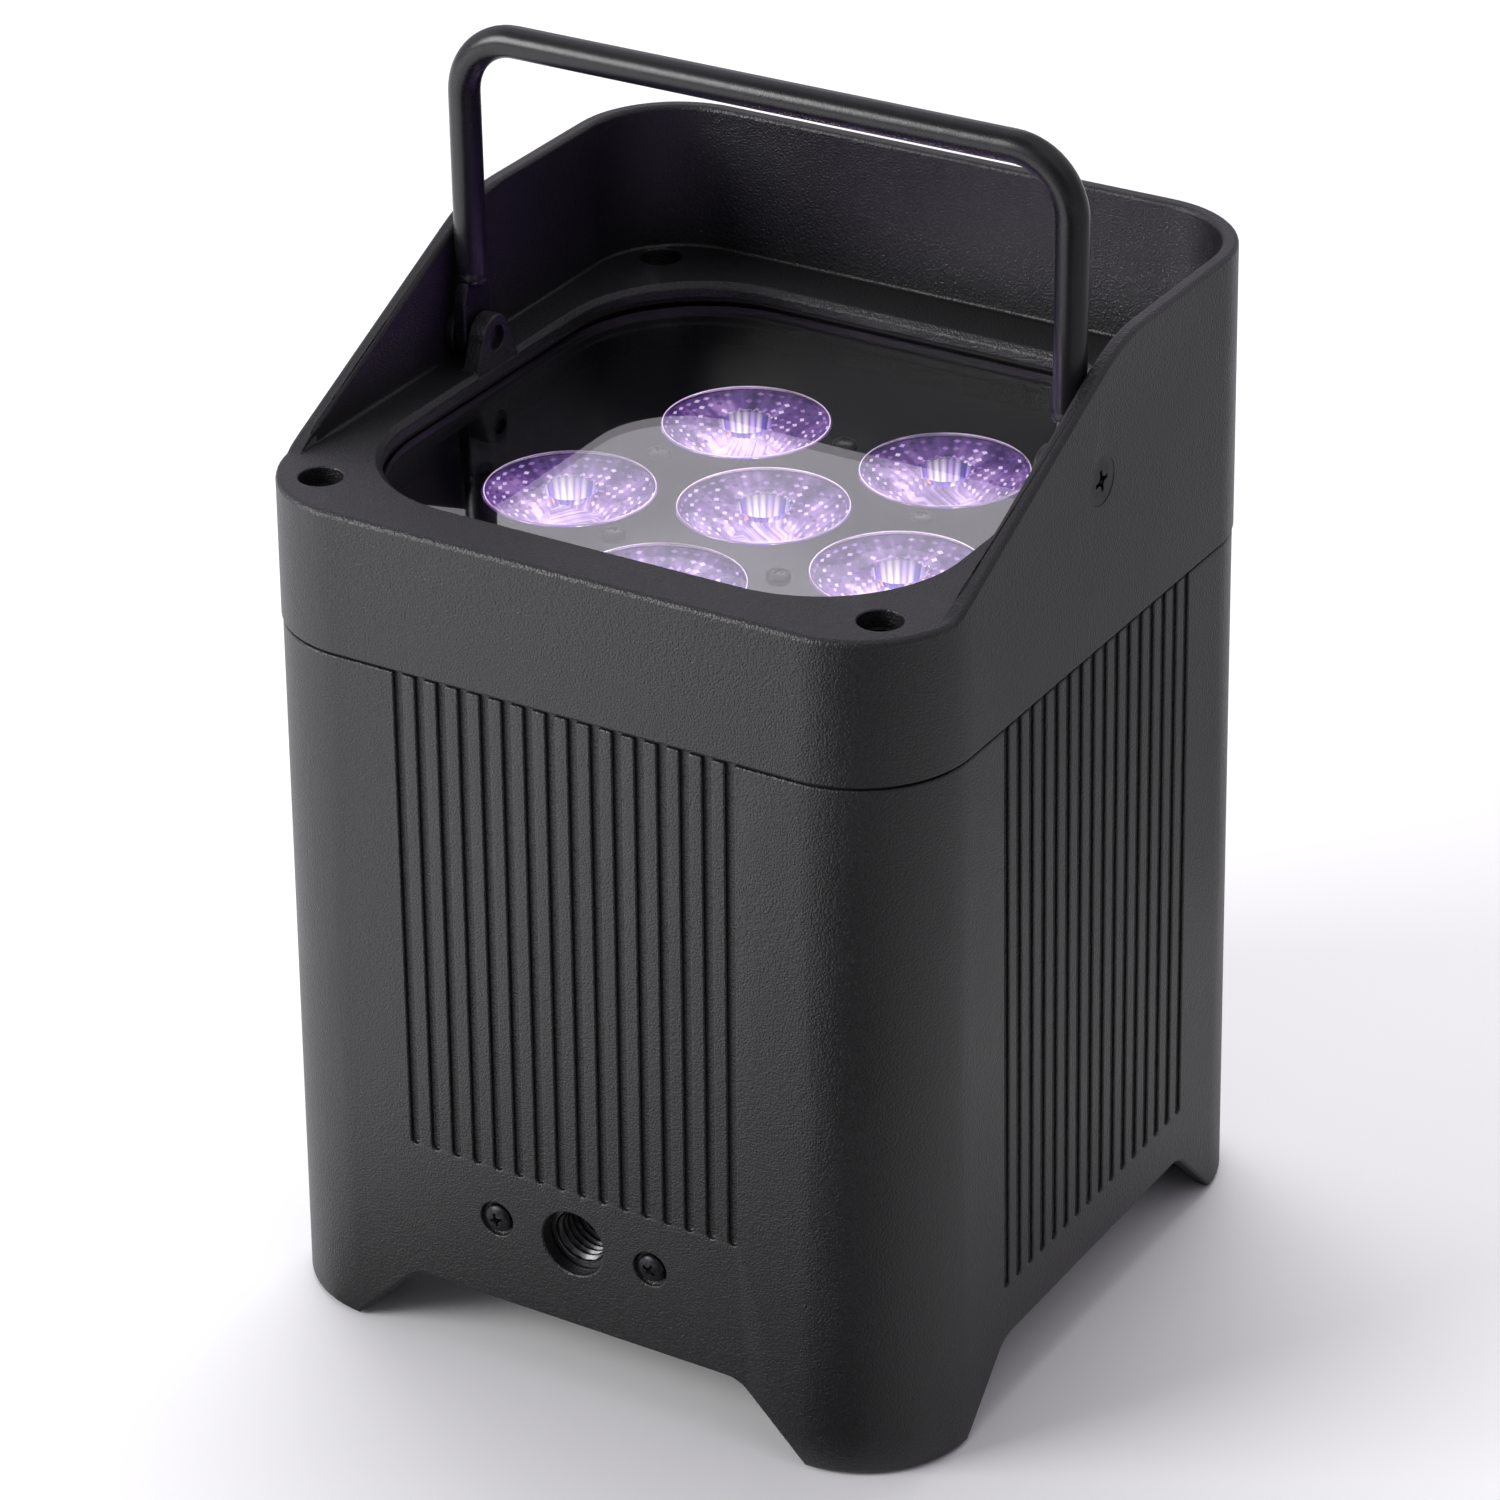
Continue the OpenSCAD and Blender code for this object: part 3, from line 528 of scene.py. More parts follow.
def depth_inside(point):
    """How far a point lies behind the leaning outer skin of the casing, in millimetres."""
    x, y = abs(point.x), abs(point.y)
    if min(x, y) > HALF_CORNER:
        reach = HALF_CORNER + math.hypot(x - HALF_CORNER, y - HALF_CORNER)
    else:
        reach = max(x, y)
    return SEAM_HALF + DRAFT * (SEAM_Z - point.z) - reach


def in_ear(point):
    """Whether a point is on one of the ears, above the lip."""
    return (EAR_X[0] - 0.3 < abs(point.x) < EAR_X[1] + 0.3 and abs(point.y) < 7.6
            and point.z > LIP_TOP - 0.5)


def at_slope_foot(point, inside):
    """Whether a point is on the inner edges where the side walls slope down to the front lip."""
    return (point.y < SLOPE_SPLITS[0] and 0.6 < inside < 6.0
            and point.z > CHAMFER_FOOT and abs(point.x) > 66)


def hood_width(point):
    """The rounding that each edge of the hood casting has, in millimetres."""
    inside = depth_inside(point)
    from_pivot = math.hypot(point.y, point.z - PIVOT_Z)
    if from_pivot < PIVOT_SINK and abs(point.x) > PIVOT_OUTSIDE:
        return 0.0
    if from_pivot < PIVOT_BORE:
        return 0.15
    if point.z < SEAM_Z + 1.5:
        return 0.45 if inside < 1.0 else 0.0
    if point.z < LIP_UNDER - 0.5:
        return 0.3 if inside < 0.8 else 0.0
    near_screw = math.hypot(abs(point.x) - BOSS, abs(point.y) - BOSS)
    if near_screw < SCREW_WELL and point.z < LIP_TOP + 0.2:
        return 0.4 if point.z > LIP_TOP - 1 else 0.0
    if in_ear(point):
        return 0.45
    if point.z < LIP_UNDER + 0.3:
        return 0.35
    if at_slope_foot(point, inside):
        return 0.3 if point.z > LIP_TOP + 0.2 else 0.0
    if inside < 0.6:
        return 1.1 if point.z < LIP_TOP + 0.2 else 0.9
    if CHAMFER_FOOT - 0.2 < point.z < LIP_TOP + 0.2:
        return 0.7 if inside < 4.0 else 0.3
    return 0.9


def body_width(point):
    """The rounding that each edge of the body casting has, in millimetres."""
    inside = depth_inside(point)
    if inside > 2.6:
        return 0.0
    if point.z > SEAM_Z - 1.0:
        return 0.45 if inside < 0.6 else 0.25
    if point.z < 17.0 and inside < 0.6:
        return 0.9
    if inside < 1.3:
        return 0.4
    return 0.0


rounded("top_hood", 1.3, COAT, "hood_casting", hood_width, 3, SLOPE_SPLITS)
rounded("housing_body", 0.9, COAT, "body_casting", body_width, 3)


# ---- lenses and emitters ----

LENS_NODES = ["lens_centre"] + [f"lens_ring_{i}" for i in range(1, 6)]
FACETS_ROUND = 44
FACETS_HIGH = 7
FACET_SWELL = 0.16
RIDGES = 22
WELL_RIM = 5.5
WELL_FOOT = 4.6
WELL_DEEP = 5.5
WELL_STEPS = 8
CORE_RADIUS = 4.1
CORE_RISE = 1.3
LENS_FOOT = 5.9
LENS_NECK = 0.95
LENS_FLANGE = 2.5
LENS_SEGMENTS = FACETS_ROUND * 5
LENS_GLOW = 0.70
# How far the facets stay from the cone's foot and from its flange, in millimetres.
FACET_MARGIN = 0.4
# The material slots of a lens.
ON_FACE, ON_BACK, ON_WELL, ON_CORE = range(4)

# Painted LED light on the facets, from pale at the cone's foot to deep violet towards the flange.
LENS_LIGHT_TONES = (
    (0.0, (1.0, 0.90, 1.0)), (0.12, (0.80, 0.58, 0.92)), (0.30, (0.42, 0.26, 0.56)),
    (0.6, (0.16, 0.08, 0.29)), (1.0, (0.04, 0.018, 0.11)),
)
# Painted LED light on the well's ridges: each ridge takes a colour at random from this ramp.
WELL_LIGHT_TONES = (
    (0.0, (0.03, 0.03, 0.42)), (0.22, (0.22, 0.08, 0.75)), (0.42, (0.55, 0.36, 0.95)),
    (0.62, (1.0, 0.90, 1.0)), (0.86, (0.80, 0.60, 0.98)), (0.94, (1.0, 0.42, 0.22)),
    (1.0, (0.9, 0.12, 0.20)),
)
# Painted light in the core over each emitter.
CORE_LIGHT_TONES = (
    (0.0, (0.30, 0.25, 1.0)), (0.25, (1.0, 0.62, 0.80)), (0.5, (1.0, 0.86, 0.95)),
    (0.75, (1.0, 0.50, 0.60)), (1.0, (1.0, 0.95, 0.85)),
)


def pillow(share, count):
    """The swell of a row of rounded facets, sharp between them."""
    return abs(math.sin(share * count * math.pi))


def lens_back(bm, place, radius, height):
    """The cone behind a lens, swollen into rows of facets. Returns its rows of corners."""
    tall = height - LENS_FLANGE - 2 * FACET_MARGIN
    steps = FACETS_HIGH * 5
    neck = radius - LENS_NECK

    def facet_reach(r, h, angle):
        share = (h - FACET_MARGIN) / tall
        if not 0.0 <= share <= 1.0:
            return r
        return r + FACET_SWELL * pillow(angle / TAU, FACETS_ROUND) * pillow(share, FACETS_HIGH)

    profile = [(LENS_FOOT + (neck - LENS_FOOT) * (i / steps) ** 0.92, FACET_MARGIN + tall * i / steps)
               for i in range(steps + 1)]
    return lathe(bm, profile, place, segments=LENS_SEGMENTS, material=ON_BACK, wobble=facet_reach,
                 caps=(True, False))


def lens_face(bm, place, radius, height):
    """A lens's flange and flat face, in as far as the well. Returns its rows of corners."""
    under = height - LENS_FLANGE
    profile = [(radius - 0.35, under + 0.02), (radius, under + 0.35), (radius, height - 0.3),
               (radius - 0.08, height - 0.09), (radius - 0.3, height), (WELL_RIM + 0.5, height),
               (WELL_RIM + 0.2, height - 0.08)]
    return lathe(bm, profile, place, segments=LENS_SEGMENTS, material=ON_FACE, caps=(False, False))


def lens_well(bm, place, height):
    """The ridged well in a lens's face. Returns its rows of corners."""
    top = height - 0.3

    def ridged(r, h, angle):
        return r - 0.25 * pillow(angle / TAU, RIDGES) if r > WELL_FOOT - 0.01 else r

    profile = [(WELL_RIM + (WELL_FOOT - WELL_RIM) * i / WELL_STEPS, top - (WELL_DEEP - 0.3) * i / WELL_STEPS)
               for i in range(WELL_STEPS + 1)]
    return lathe(bm, profile, place, segments=LENS_SEGMENTS, material=ON_WELL, wobble=ridged,
                 caps=(False, False))


def lens_core(bm, place, height):
    """The dome at the foot of a lens's well. Returns its rows of corners."""
    arc = [math.radians(15 * i) for i in range(6)]
    profile = [(CORE_RADIUS * math.cos(a), height - WELL_DEEP + CORE_RISE * math.sin(a)) for a in arc]
    return lathe(bm, profile, place, segments=LENS_SEGMENTS, material=ON_CORE, caps=(False, True))


def lens_piece(name, node):
    """A clear cone with facets on its back, and a ridged well with a core in its face; the facets, the well
    and the core glow with painted LED light.
    """
    low, high = box_mm(node)
    centre = (low + high) / 2
    radius = (high.x - low.x) / 2
    height = high.z - low.z
    place = Vector((centre.x, centre.y, low.z))
    bm = bmesh.new()
    back = lens_back(bm, place, radius, height)
    face = lens_face(bm, place, radius, height)
    join_rows(bm, back[-1], face[0], ON_BACK)
    well = lens_well(bm, place, height)
    join_rows(bm, face[-1], well[0], ON_FACE)
    core = lens_core(bm, place, height)
    join_rows(bm, well[-1], core[0], ON_CORE)
    unroll(bm, place, ON_BACK, FACETS_ROUND, height - LENS_FLANGE, FACETS_HIGH)
    unroll(bm, place + Vector((0, 0, height - WELL_DEEP)), ON_WELL, RIDGES, WELL_DEEP, 1)
    face_outward(bm)
    looks = [ACRYLIC, LENS_FACET_LIGHT, LENS_WELL_LIGHT, LENS_CORE_LIGHT]
    new_piece(name, bm, node, looks, (node,), even=False)


def join_rows(bm, first, second, material):
    """Closes the gap between two rows of as many corners."""
    count = len(first)
    for i in range(count):
        j = (i + 1) % count
        bm.faces.new((first[i], first[j], second[j], second[i])).material_index = material


def unroll(bm, place, material, columns, height, rows):
    """Counts facets round and up a lens in its UVs, so that the material can light each one by itself."""
    layer = bm.loops.layers.uv.verify()
    for face in bm.faces:
        if face.material_index != material:
            continue
        middle = face.calc_center_median() / MM - place
        turn = math.atan2(middle.y, middle.x)
        for loop in face.loops:
            point = loop.vert.co / MM - place
            angle = math.atan2(point.y, point.x)
            angle += TAU * round((turn - angle) / TAU)
            loop[layer].uv = (angle / TAU * columns, point.z / height * rows)


def cell_nodes(look):
    """The UV cell's chance, its place across and up the cell (0 to 1), and the height in rows."""
    cells = look.add("ShaderNodeUVMap").outputs["UV"]
    whole = look.add("ShaderNodeVectorMath", operation="FLOOR")
    part = look.add("ShaderNodeVectorMath", operation="FRACTION")
    chance = look.add("ShaderNodeTexWhiteNoise")
    for node in (whole, part):
        look.link(cells, node.inputs[0])
    look.link(whole.outputs["Vector"], chance.inputs["Vector"])
    split, climb = look.add("ShaderNodeSeparateXYZ"), look.add("ShaderNodeSeparateXYZ")
    look.link(part.outputs["Vector"], split.inputs["Vector"])
    look.link(cells, climb.inputs["Vector"])
    return chance.outputs["Value"], split.outputs["X"], split.outputs["Y"], climb.outputs["Y"]


def scaled(look, color, factor):
    node = look.add("ShaderNodeVectorMath", operation="SCALE")
    look.link(color, node.inputs[0])
    look.link(factor, node.inputs["Scale"])
    return node.outputs["Vector"]


def off_centre(look, share):
    """How far a share from 0 to 1 is from its middle."""
    return look.math("ABSOLUTE", look.math("SUBTRACT", share, 0.5), 0.0)


def facet_light(name):
    """Painted LED light on the facets: violet, paler towards the foot, with a diamond-shaped painted glint
    in each facet, bright in most and dark in some.
    """
    look = Look(name)
    chance, across, up, rise = cell_nodes(look)
    reach = look.blend(off_centre(look, across), off_centre(look, up), 1.2, 1.6)
    glint_diamond = look.remap(reach, 1.0, 0.0, 0.38, 0.50)
    climb = look.remap(rise, 0.22, 0.80, 0.0, FACETS_HIGH)
    rays = look.add("ShaderNodeMapping")
    rays.inputs["Scale"].default_value = (0.6, 0.05, 1.0)
    look.link(look.add("ShaderNodeUVMap").outputs["UV"], rays.inputs["Vector"])
    streak = look.add("ShaderNodeTexNoise", Scale=1.0, Detail=3.0)
    look.link(rays.outputs["Vector"], streak.inputs["Vector"])
    tone = look.math("ADD", climb, look.remap(look.noise(120.0, 3.0), -0.26, 0.26, 0.3, 0.7))
    tone = look.math("ADD", tone, look.remap(streak.outputs["Fac"], -0.30, 0.30, 0.3, 0.7))
    # Each facet's diamond is a painted glint: brighter in most facets, darker in about a quarter.
    facet_glint = look.math("MULTIPLY", glint_diamond, look.remap(chance, -0.30, 0.85, 0.0, 1.0))
    lit = look.ramp(look.math("SUBTRACT", tone, facet_glint), LENS_LIGHT_TONES)
    # The facets glow: emission standing in for the emitters' light inside the lens, a painted light.
    look.link(lit, look.shader.inputs["Emission Color"])
    look.link(lit, look.shader.inputs["Base Color"])
    look.set(emission_strength=LENS_GLOW, roughness=0.12)
    return look.material


def well_light(name):
    """Painted LED light on the ridges of the well, each in its own colour, brighter towards the core, with a
    painted highlight down the middle of each ridge.
    """
    look = Look(name)
    chance, across, _, rise = cell_nodes(look)
    hue = look.ramp(chance, WELL_LIGHT_TONES)
    fade = look.remap(rise, 1.5, 0.35, 0.0, 1.0)
    # A painted highlight down the middle of each ridge.
    ridge_highlight = look.remap(off_centre(look, across), 1.25, 0.35, 0.1, 0.5)
    lit = scaled(look, hue, look.math("MULTIPLY", fade, ridge_highlight))
    look.link(lit, look.shader.inputs["Emission Color"])
    look.set(base_color=(0.20, 0.16, 0.30), emission_strength=0.9, roughness=0.08)
    return look.material


def core_light(name):
    """The core over the emitter, glowing with painted LED light: pink and white with small dots of the
    emitter's colours.
    """
    look = Look(name)
    cells = look.add("ShaderNodeTexVoronoi", Scale=760.0)
    look.link(look.place, cells.inputs["Vector"])
    chance = look.add("ShaderNodeSeparateXYZ")
    look.link(cells.outputs["Color"], chance.inputs["Vector"])
    hue = look.ramp(chance.outputs["X"], CORE_LIGHT_TONES)
    dot = look.remap(cells.outputs["Distance"], 1.35, 0.55, 0.15, 0.75)
    look.link(scaled(look, hue, dot), look.shader.inputs["Emission Color"])
    look.set(base_color=(0.20, 0.12, 0.20), emission_strength=0.75, roughness=0.08)
    return look.material


LENS_FACET_LIGHT = facet_light("lens_facets")
LENS_WELL_LIGHT = well_light("lens_well")
LENS_CORE_LIGHT = core_light("lens_core")
for node in LENS_NODES:
    lens_piece(node + "_faceted", node)

# The bead round each lens's face glows as a painted highlight of the rim, standing in for the emitters'
# light caught there.
RIM_LIGHT = glow("lens_rim_light", (0.95, 0.72, 1.0), 1.0, 0.14, 70.0, 0.22)
CHIP_COLORS = {
    "red": ((1.0, 0.10, 0.04), 5.0), "blue": ((0.06, 0.09, 1.0), 5.0), "violet": ((0.50, 0.12, 1.0), 4.0),
    "white": ((1.0, 0.80, 0.95), 3.5), "amber": ((1.0, 0.32, 0.04), 4.0), "lilac": ((0.75, 0.50, 1.0), 3.0),
}
CHIP_LOOKS = [glow("chip_" + name, *light, 0.5, 2500.0) for name, light in CHIP_COLORS.items()]
SUBSTRATE = glow("lit_substrate", (0.95, 0.58, 0.92), 0.5)
SILICONE = clear_acrylic("emitter_dome")
EMITTER_FOOT = box_mm("led_emitters")[0].z
CHIP = 1.0
RIM_INSET = 0.2
RIM_BEAD = 0.12


def emitter_chips(bm, at):
    """An emitter's base and its ring, with two rows of three chips in it."""
    slab(bm, (at.x - 3.5, at.y - 3.5, EMITTER_FOOT), (at.x + 3.5, at.y + 3.5, EMITTER_FOOT + 1.0))
    ring = [(3.2, 0.0), (3.2, 0.5), (3.0, 0.7), (2.75, 0.7), (2.75, 0.2)]
    lathe(bm, ring, (at.x, at.y, EMITTER_FOOT + 1.0), segments=36)
    for i in range(len(CHIP_LOOKS)):
        x = at.x + (i % 3 - 1) * 1.25 - CHIP / 2
        y = at.y + (i // 3 - 0.5) * 1.35 - CHIP / 2
        slab(bm, (x, y, EMITTER_FOOT + 1.2), (x + CHIP, y + CHIP, EMITTER_FOOT + 1.35), 1 + i)


def emitter_dome(bm, at):
    """The clear dome over an emitter's chips."""
    arc = [math.radians(10 * i) for i in range(9)]
    profile = [(2.65, 0.02)] + [(2.65 * math.cos(a), 0.05 + 1.9 * math.sin(a)) for a in arc]
    lathe(bm, profile, (at.x, at.y, EMITTER_FOOT + 1.25), segments=36)


def lens_rim(bm, low, high):
    """A thin bead round a lens's face that glows as a painted highlight of the rim."""
    at = (low + high) / 2
    reach = (high.x - low.x) / 2 - RIM_INSET
    around = [TAU * j / 96 for j in range(96)]
    rings = []
    for a in [TAU * i / 8 for i in range(9)]:
        r = reach + RIM_BEAD * math.cos(a)
        z = high.z - 0.02 + RIM_BEAD * math.sin(a)
        rings.append([Vector((at.x + r * math.cos(b), at.y + r * math.sin(b), z)) for b in around])
    skin(bm, rings)


def make_emitters():
    chips, domes, rim_highlights = bmesh.new(), bmesh.new(), bmesh.new()
    for node in LENS_NODES:
        emitter_chips(chips, middle_mm(node))
        emitter_dome(domes, middle_mm(node))
        lens_rim(rim_highlights, *box_mm(node))
    face_outward(chips)
    chip_looks = [SUBSTRATE] + CHIP_LOOKS
    new_piece("emitter_chips", chips, "led_emitters", chip_looks, ("led_emitters",), smooth=False)
    new_piece("emitter_domes", domes, "led_emitters", [SILICONE])
    bmesh.ops.remove_doubles(rim_highlights, verts=rim_highlights.verts, dist=WELD)
    face_outward(rim_highlights)
    new_piece("lens_rim_highlights", rim_highlights, "lens_centre", [RIM_LIGHT], even=False)


make_emitters()


# ---- handle ----

BEND_RADIUS = 12.5
BEND_STEPS = 15
ROD_SEGMENTS = 40
# The weld at the foot of each leg, as (radius, height).
WELD_BEAD = ((1.4, -1.5), (2.2, -1.35), (2.9, -0.9), (3.3, -0.3),
             (3.48, 0.3), (3.42, 0.9), (3.3, 1.4), (3.2, 1.8))
# How the rod's end is rounded, as (distance from the end, share of the radius).
ROD_END = ((0.0, 0.80), (0.25, 0.93), (0.9, 1.0))


def handle_path(leg, grip, weld):
    """Points and directions along the bar's centre line, from the left weld to the right one."""
    up = Vector((0, 0, 1))
    half = [(Vector((-leg, 0, z)), up) for z in (weld, weld + 20, grip - BEND_RADIUS)]
    for i in range(1, BEND_STEPS):
        a = math.pi / 2 * i / BEND_STEPS
        point = Vector((-leg + BEND_RADIUS * (1 - math.cos(a)), 0, grip - BEND_RADIUS * (1 - math.sin(a))))
        half.append((point, Vector((math.sin(a), 0, math.cos(a)))))
    half.append((Vector((-leg + BEND_RADIUS, 0, grip)), Vector((1, 0, 0))))
    mirrored = [(Vector((-p.x, 0, p.z)), Vector((t.x, 0, -t.z))) for p, t in reversed(half)]
    return half + mirrored


def weld_wobble(r, h, angle):
    return r * (1 + 0.03 * math.sin(11 * angle + 5 * h) + 0.02 * math.sin(5 * angle))


def make_handle():
    low, high = box_mm("handle_bar")
    rod = (high.y - low.y) / 2
    leg = high.x - rod
    path = handle_path(leg, high.z - rod, low.z)
    (first, first_way), (last, last_way) = path[0], path[-1]
    stations = [(first + first_way * d, first_way, share) for d, share in ROD_END]
    stations += [(point, way, 1.0) for point, way in path[1:-1]]
    stations += [(last - last_way * d, last_way, share) for d, share in reversed(ROD_END)]
    side = Vector((0, 1, 0))
    around = [TAU * i / ROD_SEGMENTS for i in range(ROD_SEGMENTS)]
    rings = []
    for point, along, share in stations:
        up = along.cross(side)
        rings.append([point + rod * share * (math.cos(a) * up + math.sin(a) * side) for a in around])
    bm = bmesh.new()
    rows = skin(bm, rings)
    bm.faces.new(rows[0][::-1])
    bm.faces.new(rows[-1])
    face_outward(bm)
    new_piece("handle_rod", bm, "handle_bar", [BAR], ("handle_bar",), even=False)
    bm = bmesh.new()
    for x in (-leg, leg):
        lathe(bm, WELD_BEAD, (x, 0, low.z), segments=44, wobble=weld_wobble)
    face_outward(bm)
    new_piece("handle_welds", bm, "handle_bar", [BAR], even=False)


make_handle()
for node in ("handle_tab_left", "handle_tab_right"):
    rounded(node, 0.4, BAR)
rounded("pivot_washers", 0.3)


# ---- screws ----


# How far each screw of a set is turned, in degrees.
SCREW_SPINS = (17, 62, 38, 84, 5, 51)


def pan_head(radius, height, recess):
    """A domed head with a cross recess; z = 0 is under the head."""
    arc = [math.radians(11 * i) for i in range(8)]
    dome = [(radius * math.cos(a), height * (0.35 + 0.65 * math.sin(a))) for a in arc]
    shank = [(radius * 0.5, -radius * 2), (radius * 0.5, 0.0), (radius * 0.96, 0.0), (radius, 0.12)]
    bm = bmesh.new()
    lathe(bm, shank + dome, segments=40)
    return cross_cut(bm, recess, recess * 0.20, height * 0.62, height * 0.97)


def pan_screws(node, radius, height, axis, recess):
    """Finished pan-head screws where the CAD node has its plain ones."""
    places = []
    for i, (low, high) in enumerate(island_boxes(node)):
        middle = (low + high) / 2
        under = {"Z": (middle.x, middle.y, high.z - height), "-Z": (middle.x, middle.y, low.z + height),
                 "Y": (middle.x, high.y - height, middle.z), "-Y": (middle.x, low.y + height, middle.z)}
        places.append((under[axis], axis, SCREW_SPINS[i % len(SCREW_SPINS)]))
    finish_screws(node, pan_head(radius, height, recess), places)


def finish_screws(node, bm, places):
    """One piece made of a copy of a screw at each (place in millimetres, axis, spin in degrees)."""
    joined = bmesh.new()
    source = bpy.data.meshes.new("working_shape")
    bm.to_mesh(source)
    bm.free()
    for place, axis, spin in places:
        start = len(joined.verts)
        joined.from_mesh(source)
        joined.verts.ensure_lookup_table()
        turn = TURNS[axis] @ Matrix.Rotation(math.radians(spin), 3, "Z")
        for vert in joined.verts[start:]:
            vert.co = turn @ vert.co + Vector(place) * MM
    bpy.data.meshes.remove(source)
    new_piece(node + "_finished", joined, node, [SLOT_LOOKS[SLOTS[node]]], (node,))


def island_boxes(node):
    """The lowest and highest corner of each separate solid in a node, in millimetres, in a fixed order."""
    bm = clean_copy(node)
    seen, boxes = set(), []
    for start in bm.verts:
        if start in seen:
            continue
        stack, group = [start], []
        seen.add(start)
        while stack:
            vert = stack.pop()
            group.append(vert.co / MM)
            for edge in vert.link_edges:
                other = edge.other_vert(vert)
                if other not in seen:
                    seen.add(other)
                    stack.append(other)
        low = Vector([min(p[i] for p in group) for i in range(3)])
        high = Vector([max(p[i] for p in group) for i in range(3)])
        boxes.append((low, high))
    bm.free()
    return sorted(boxes, key=lambda pair: tuple(round(v, 2) for v in pair[0]))


def knurled(r, h, angle):
    """A cap head's side, with fine grooves down it."""
    in_groove = abs(math.sin(30 * angle)) > 0.7 and 0.2 < h < 4.3
    return r - (0.07 if in_groove else 0.0)


def make_hood_screws():
    """Cap heads, standing 5 mm over their shanks."""
    top = box_mm("hood_screws")[1].z
    bm = bmesh.new()
    lathe(bm, [(2.5, -12.0), (2.5, -0.1), (3.8, 0.0), (3.9, 0.15), (3.9, 4.4), (3.75, 4.75),
               (3.45, 4.95), (3.05, 5.0)], wobble=knurled)
    bm = hex_cut(bm, 4.62, 2.6, 5.0)
    places = [((x * BOSS, y * BOSS, top - 5.0), "Z", 15 + 40 * x + 20 * y) for x in (-1, 1) for y in (-1, 1)]
    finish_screws("hood_screws", bm, places)


def make_pivot_screws():
    low, high = box_mm("pivot_screws")
    z = (low.z + high.z) / 2
    bm = bmesh.new()
    lathe(bm, [(2.5, -11.5), (2.5, -2.5), (4.8, -0.2), (4.95, -0.06), (4.85, 0.0)])
    bm = cross_cut(bm, 5.0, 0.95, 1.7, 0.0)
    finish_screws("pivot_screws", bm, [((high.x, 0, z), "X", 12), ((low.x, 0, z), "-X", 55)])


def make_port_screws():
    bm = bmesh.new()
    lathe(bm, [(1.5, -5.0), (1.5, -1.0), (2.45, -0.08), (2.4, 0.0)], segments=32)
    bm = cross_cut(bm, 2.7, 0.5, 0.8, 0.0)
    places = [(((low.x + high.x) / 2, high.y, (low.z + high.z) / 2), "Y", 20 + 25 * i)
              for i, (low, high) in enumerate(island_boxes("port_screws"))]
    finish_screws("port_screws", bm, places)


pan_screws("rigging_screws", 3.0, 1.8, "-Y", 3.5)
pan_screws("lens_plate_screws", 2.5, 1.5, "Z", 2.9)
pan_screws("panel_screws", 2.6, 1.56, "Y", 3.0)
pan_screws("cover_screws", 2.9, 1.74, "-Z", 3.3)
make_hood_screws()
make_pivot_screws()
make_port_screws()


# ---- rigging point ----

THREAD_PITCH = 1.75
THREAD_MAJOR = 6.0
THREAD_MINOR = 5.1
THREAD_LEAD = 1.2
THREAD_SEGMENTS = 56
STEPS_A_TURN = 12


def thread_radius(y, from_face, turn):
    """The bore's radius at a depth and a share of a turn. The ridges fade in behind the face."""
    share = (y / THREAD_PITCH - turn) % 1.0
    tooth = max(0.0, min(1.0, 1.25 - abs(share - 0.5) * 2 * 1.35))
    return THREAD_MAJOR - (THREAD_MAJOR - THREAD_MINOR) * tooth * min(1.0, from_face / THREAD_LEAD)


def make_rigging_block():
    """The block's bore is opened to the thread's major radius, and the helical ridges stand in it."""
    low, high = box_mm("rigging_block")
    z = (low.z + high.z) / 2
    deep = high.y - low.y
    bm = clean_copy("rigging_block")
    for vert in bm.verts:
        offset = Vector((vert.co.x, 0, vert.co.z - z * MM))
        if offset.length < (THREAD_MINOR + 0.3) * MM:
            wide = offset.normalized() * THREAD_MAJOR * MM
            vert.co.x, vert.co.z = wide.x, z * MM + wide.z
    count = int(deep / THREAD_PITCH * STEPS_A_TURN)
    rings = []
    for k in range(count + 1):
        y = low.y + deep * k / count
        ring = []
        for i in range(THREAD_SEGMENTS):
            turn = i / THREAD_SEGMENTS
            r = thread_radius(y, y - low.y, turn)
            ring.append(Vector((r * math.cos(TAU * turn), y, z + r * math.sin(TAU * turn))))
        rings.append(ring)
    skin(bm, rings)
    new_piece("rigging_block_threaded", bm, "rigging_block", [DARK_STEEL], ("rigging_block",), even=False)


make_rigging_block()


# ---- lens plate, feet and bottom cover ----

rounded("lens_plate", 0.2, LENS_PLATE)
rounded("foot_pads", 0.5)
rounded("bottom_cover", 0.4)


# ---- rear panel ----

PANEL_LIGHT = glow("display_light", (0.35, 0.75, 1.0), 1.6, 0.5, 1500.0)
MARK = moulded("grey_mark", (0.42, 0.42, 0.43), (0.55, 0.55, 0.56), (0.4, 0.55), 0.00001)

rounded("control_panel", 0.35, SHEET)
rounded("rocker_frame", 0.4)
rounded("power_rocker", 0.3)
rounded("mains_inlet", 0.4)
rounded("dmx_in_shell", 0.4)
rounded("dmx_out_shell", 0.4)
rounded("dmx_latch", 0.5)
rounded("display_window", 0.25, GLOSS)
rounded("inlet_blades", 0.3)
for i in range(1, 5):
    rounded(f"button_{i}", 0.4)

DIGIT_BARS = {
    "a": ((-1, 2), (1, 2)), "b": ((1, 1), (1, 2)), "c": ((1, 0), (1, 1)), "d": ((-1, 0), (1, 0)),
    "e": ((-1, 0), (-1, 1)), "f": ((-1, 1), (-1, 2)), "g": ((-1, 1), (1, 1)),
}
DIGITS = {"0": "abcdef", "1": "bc"}
DIGIT_PLACES = (11.5, 5.0, -1.5)
DIGIT_HALF = 1.7
DIGIT_BAR = 4.2
INK = 0.35


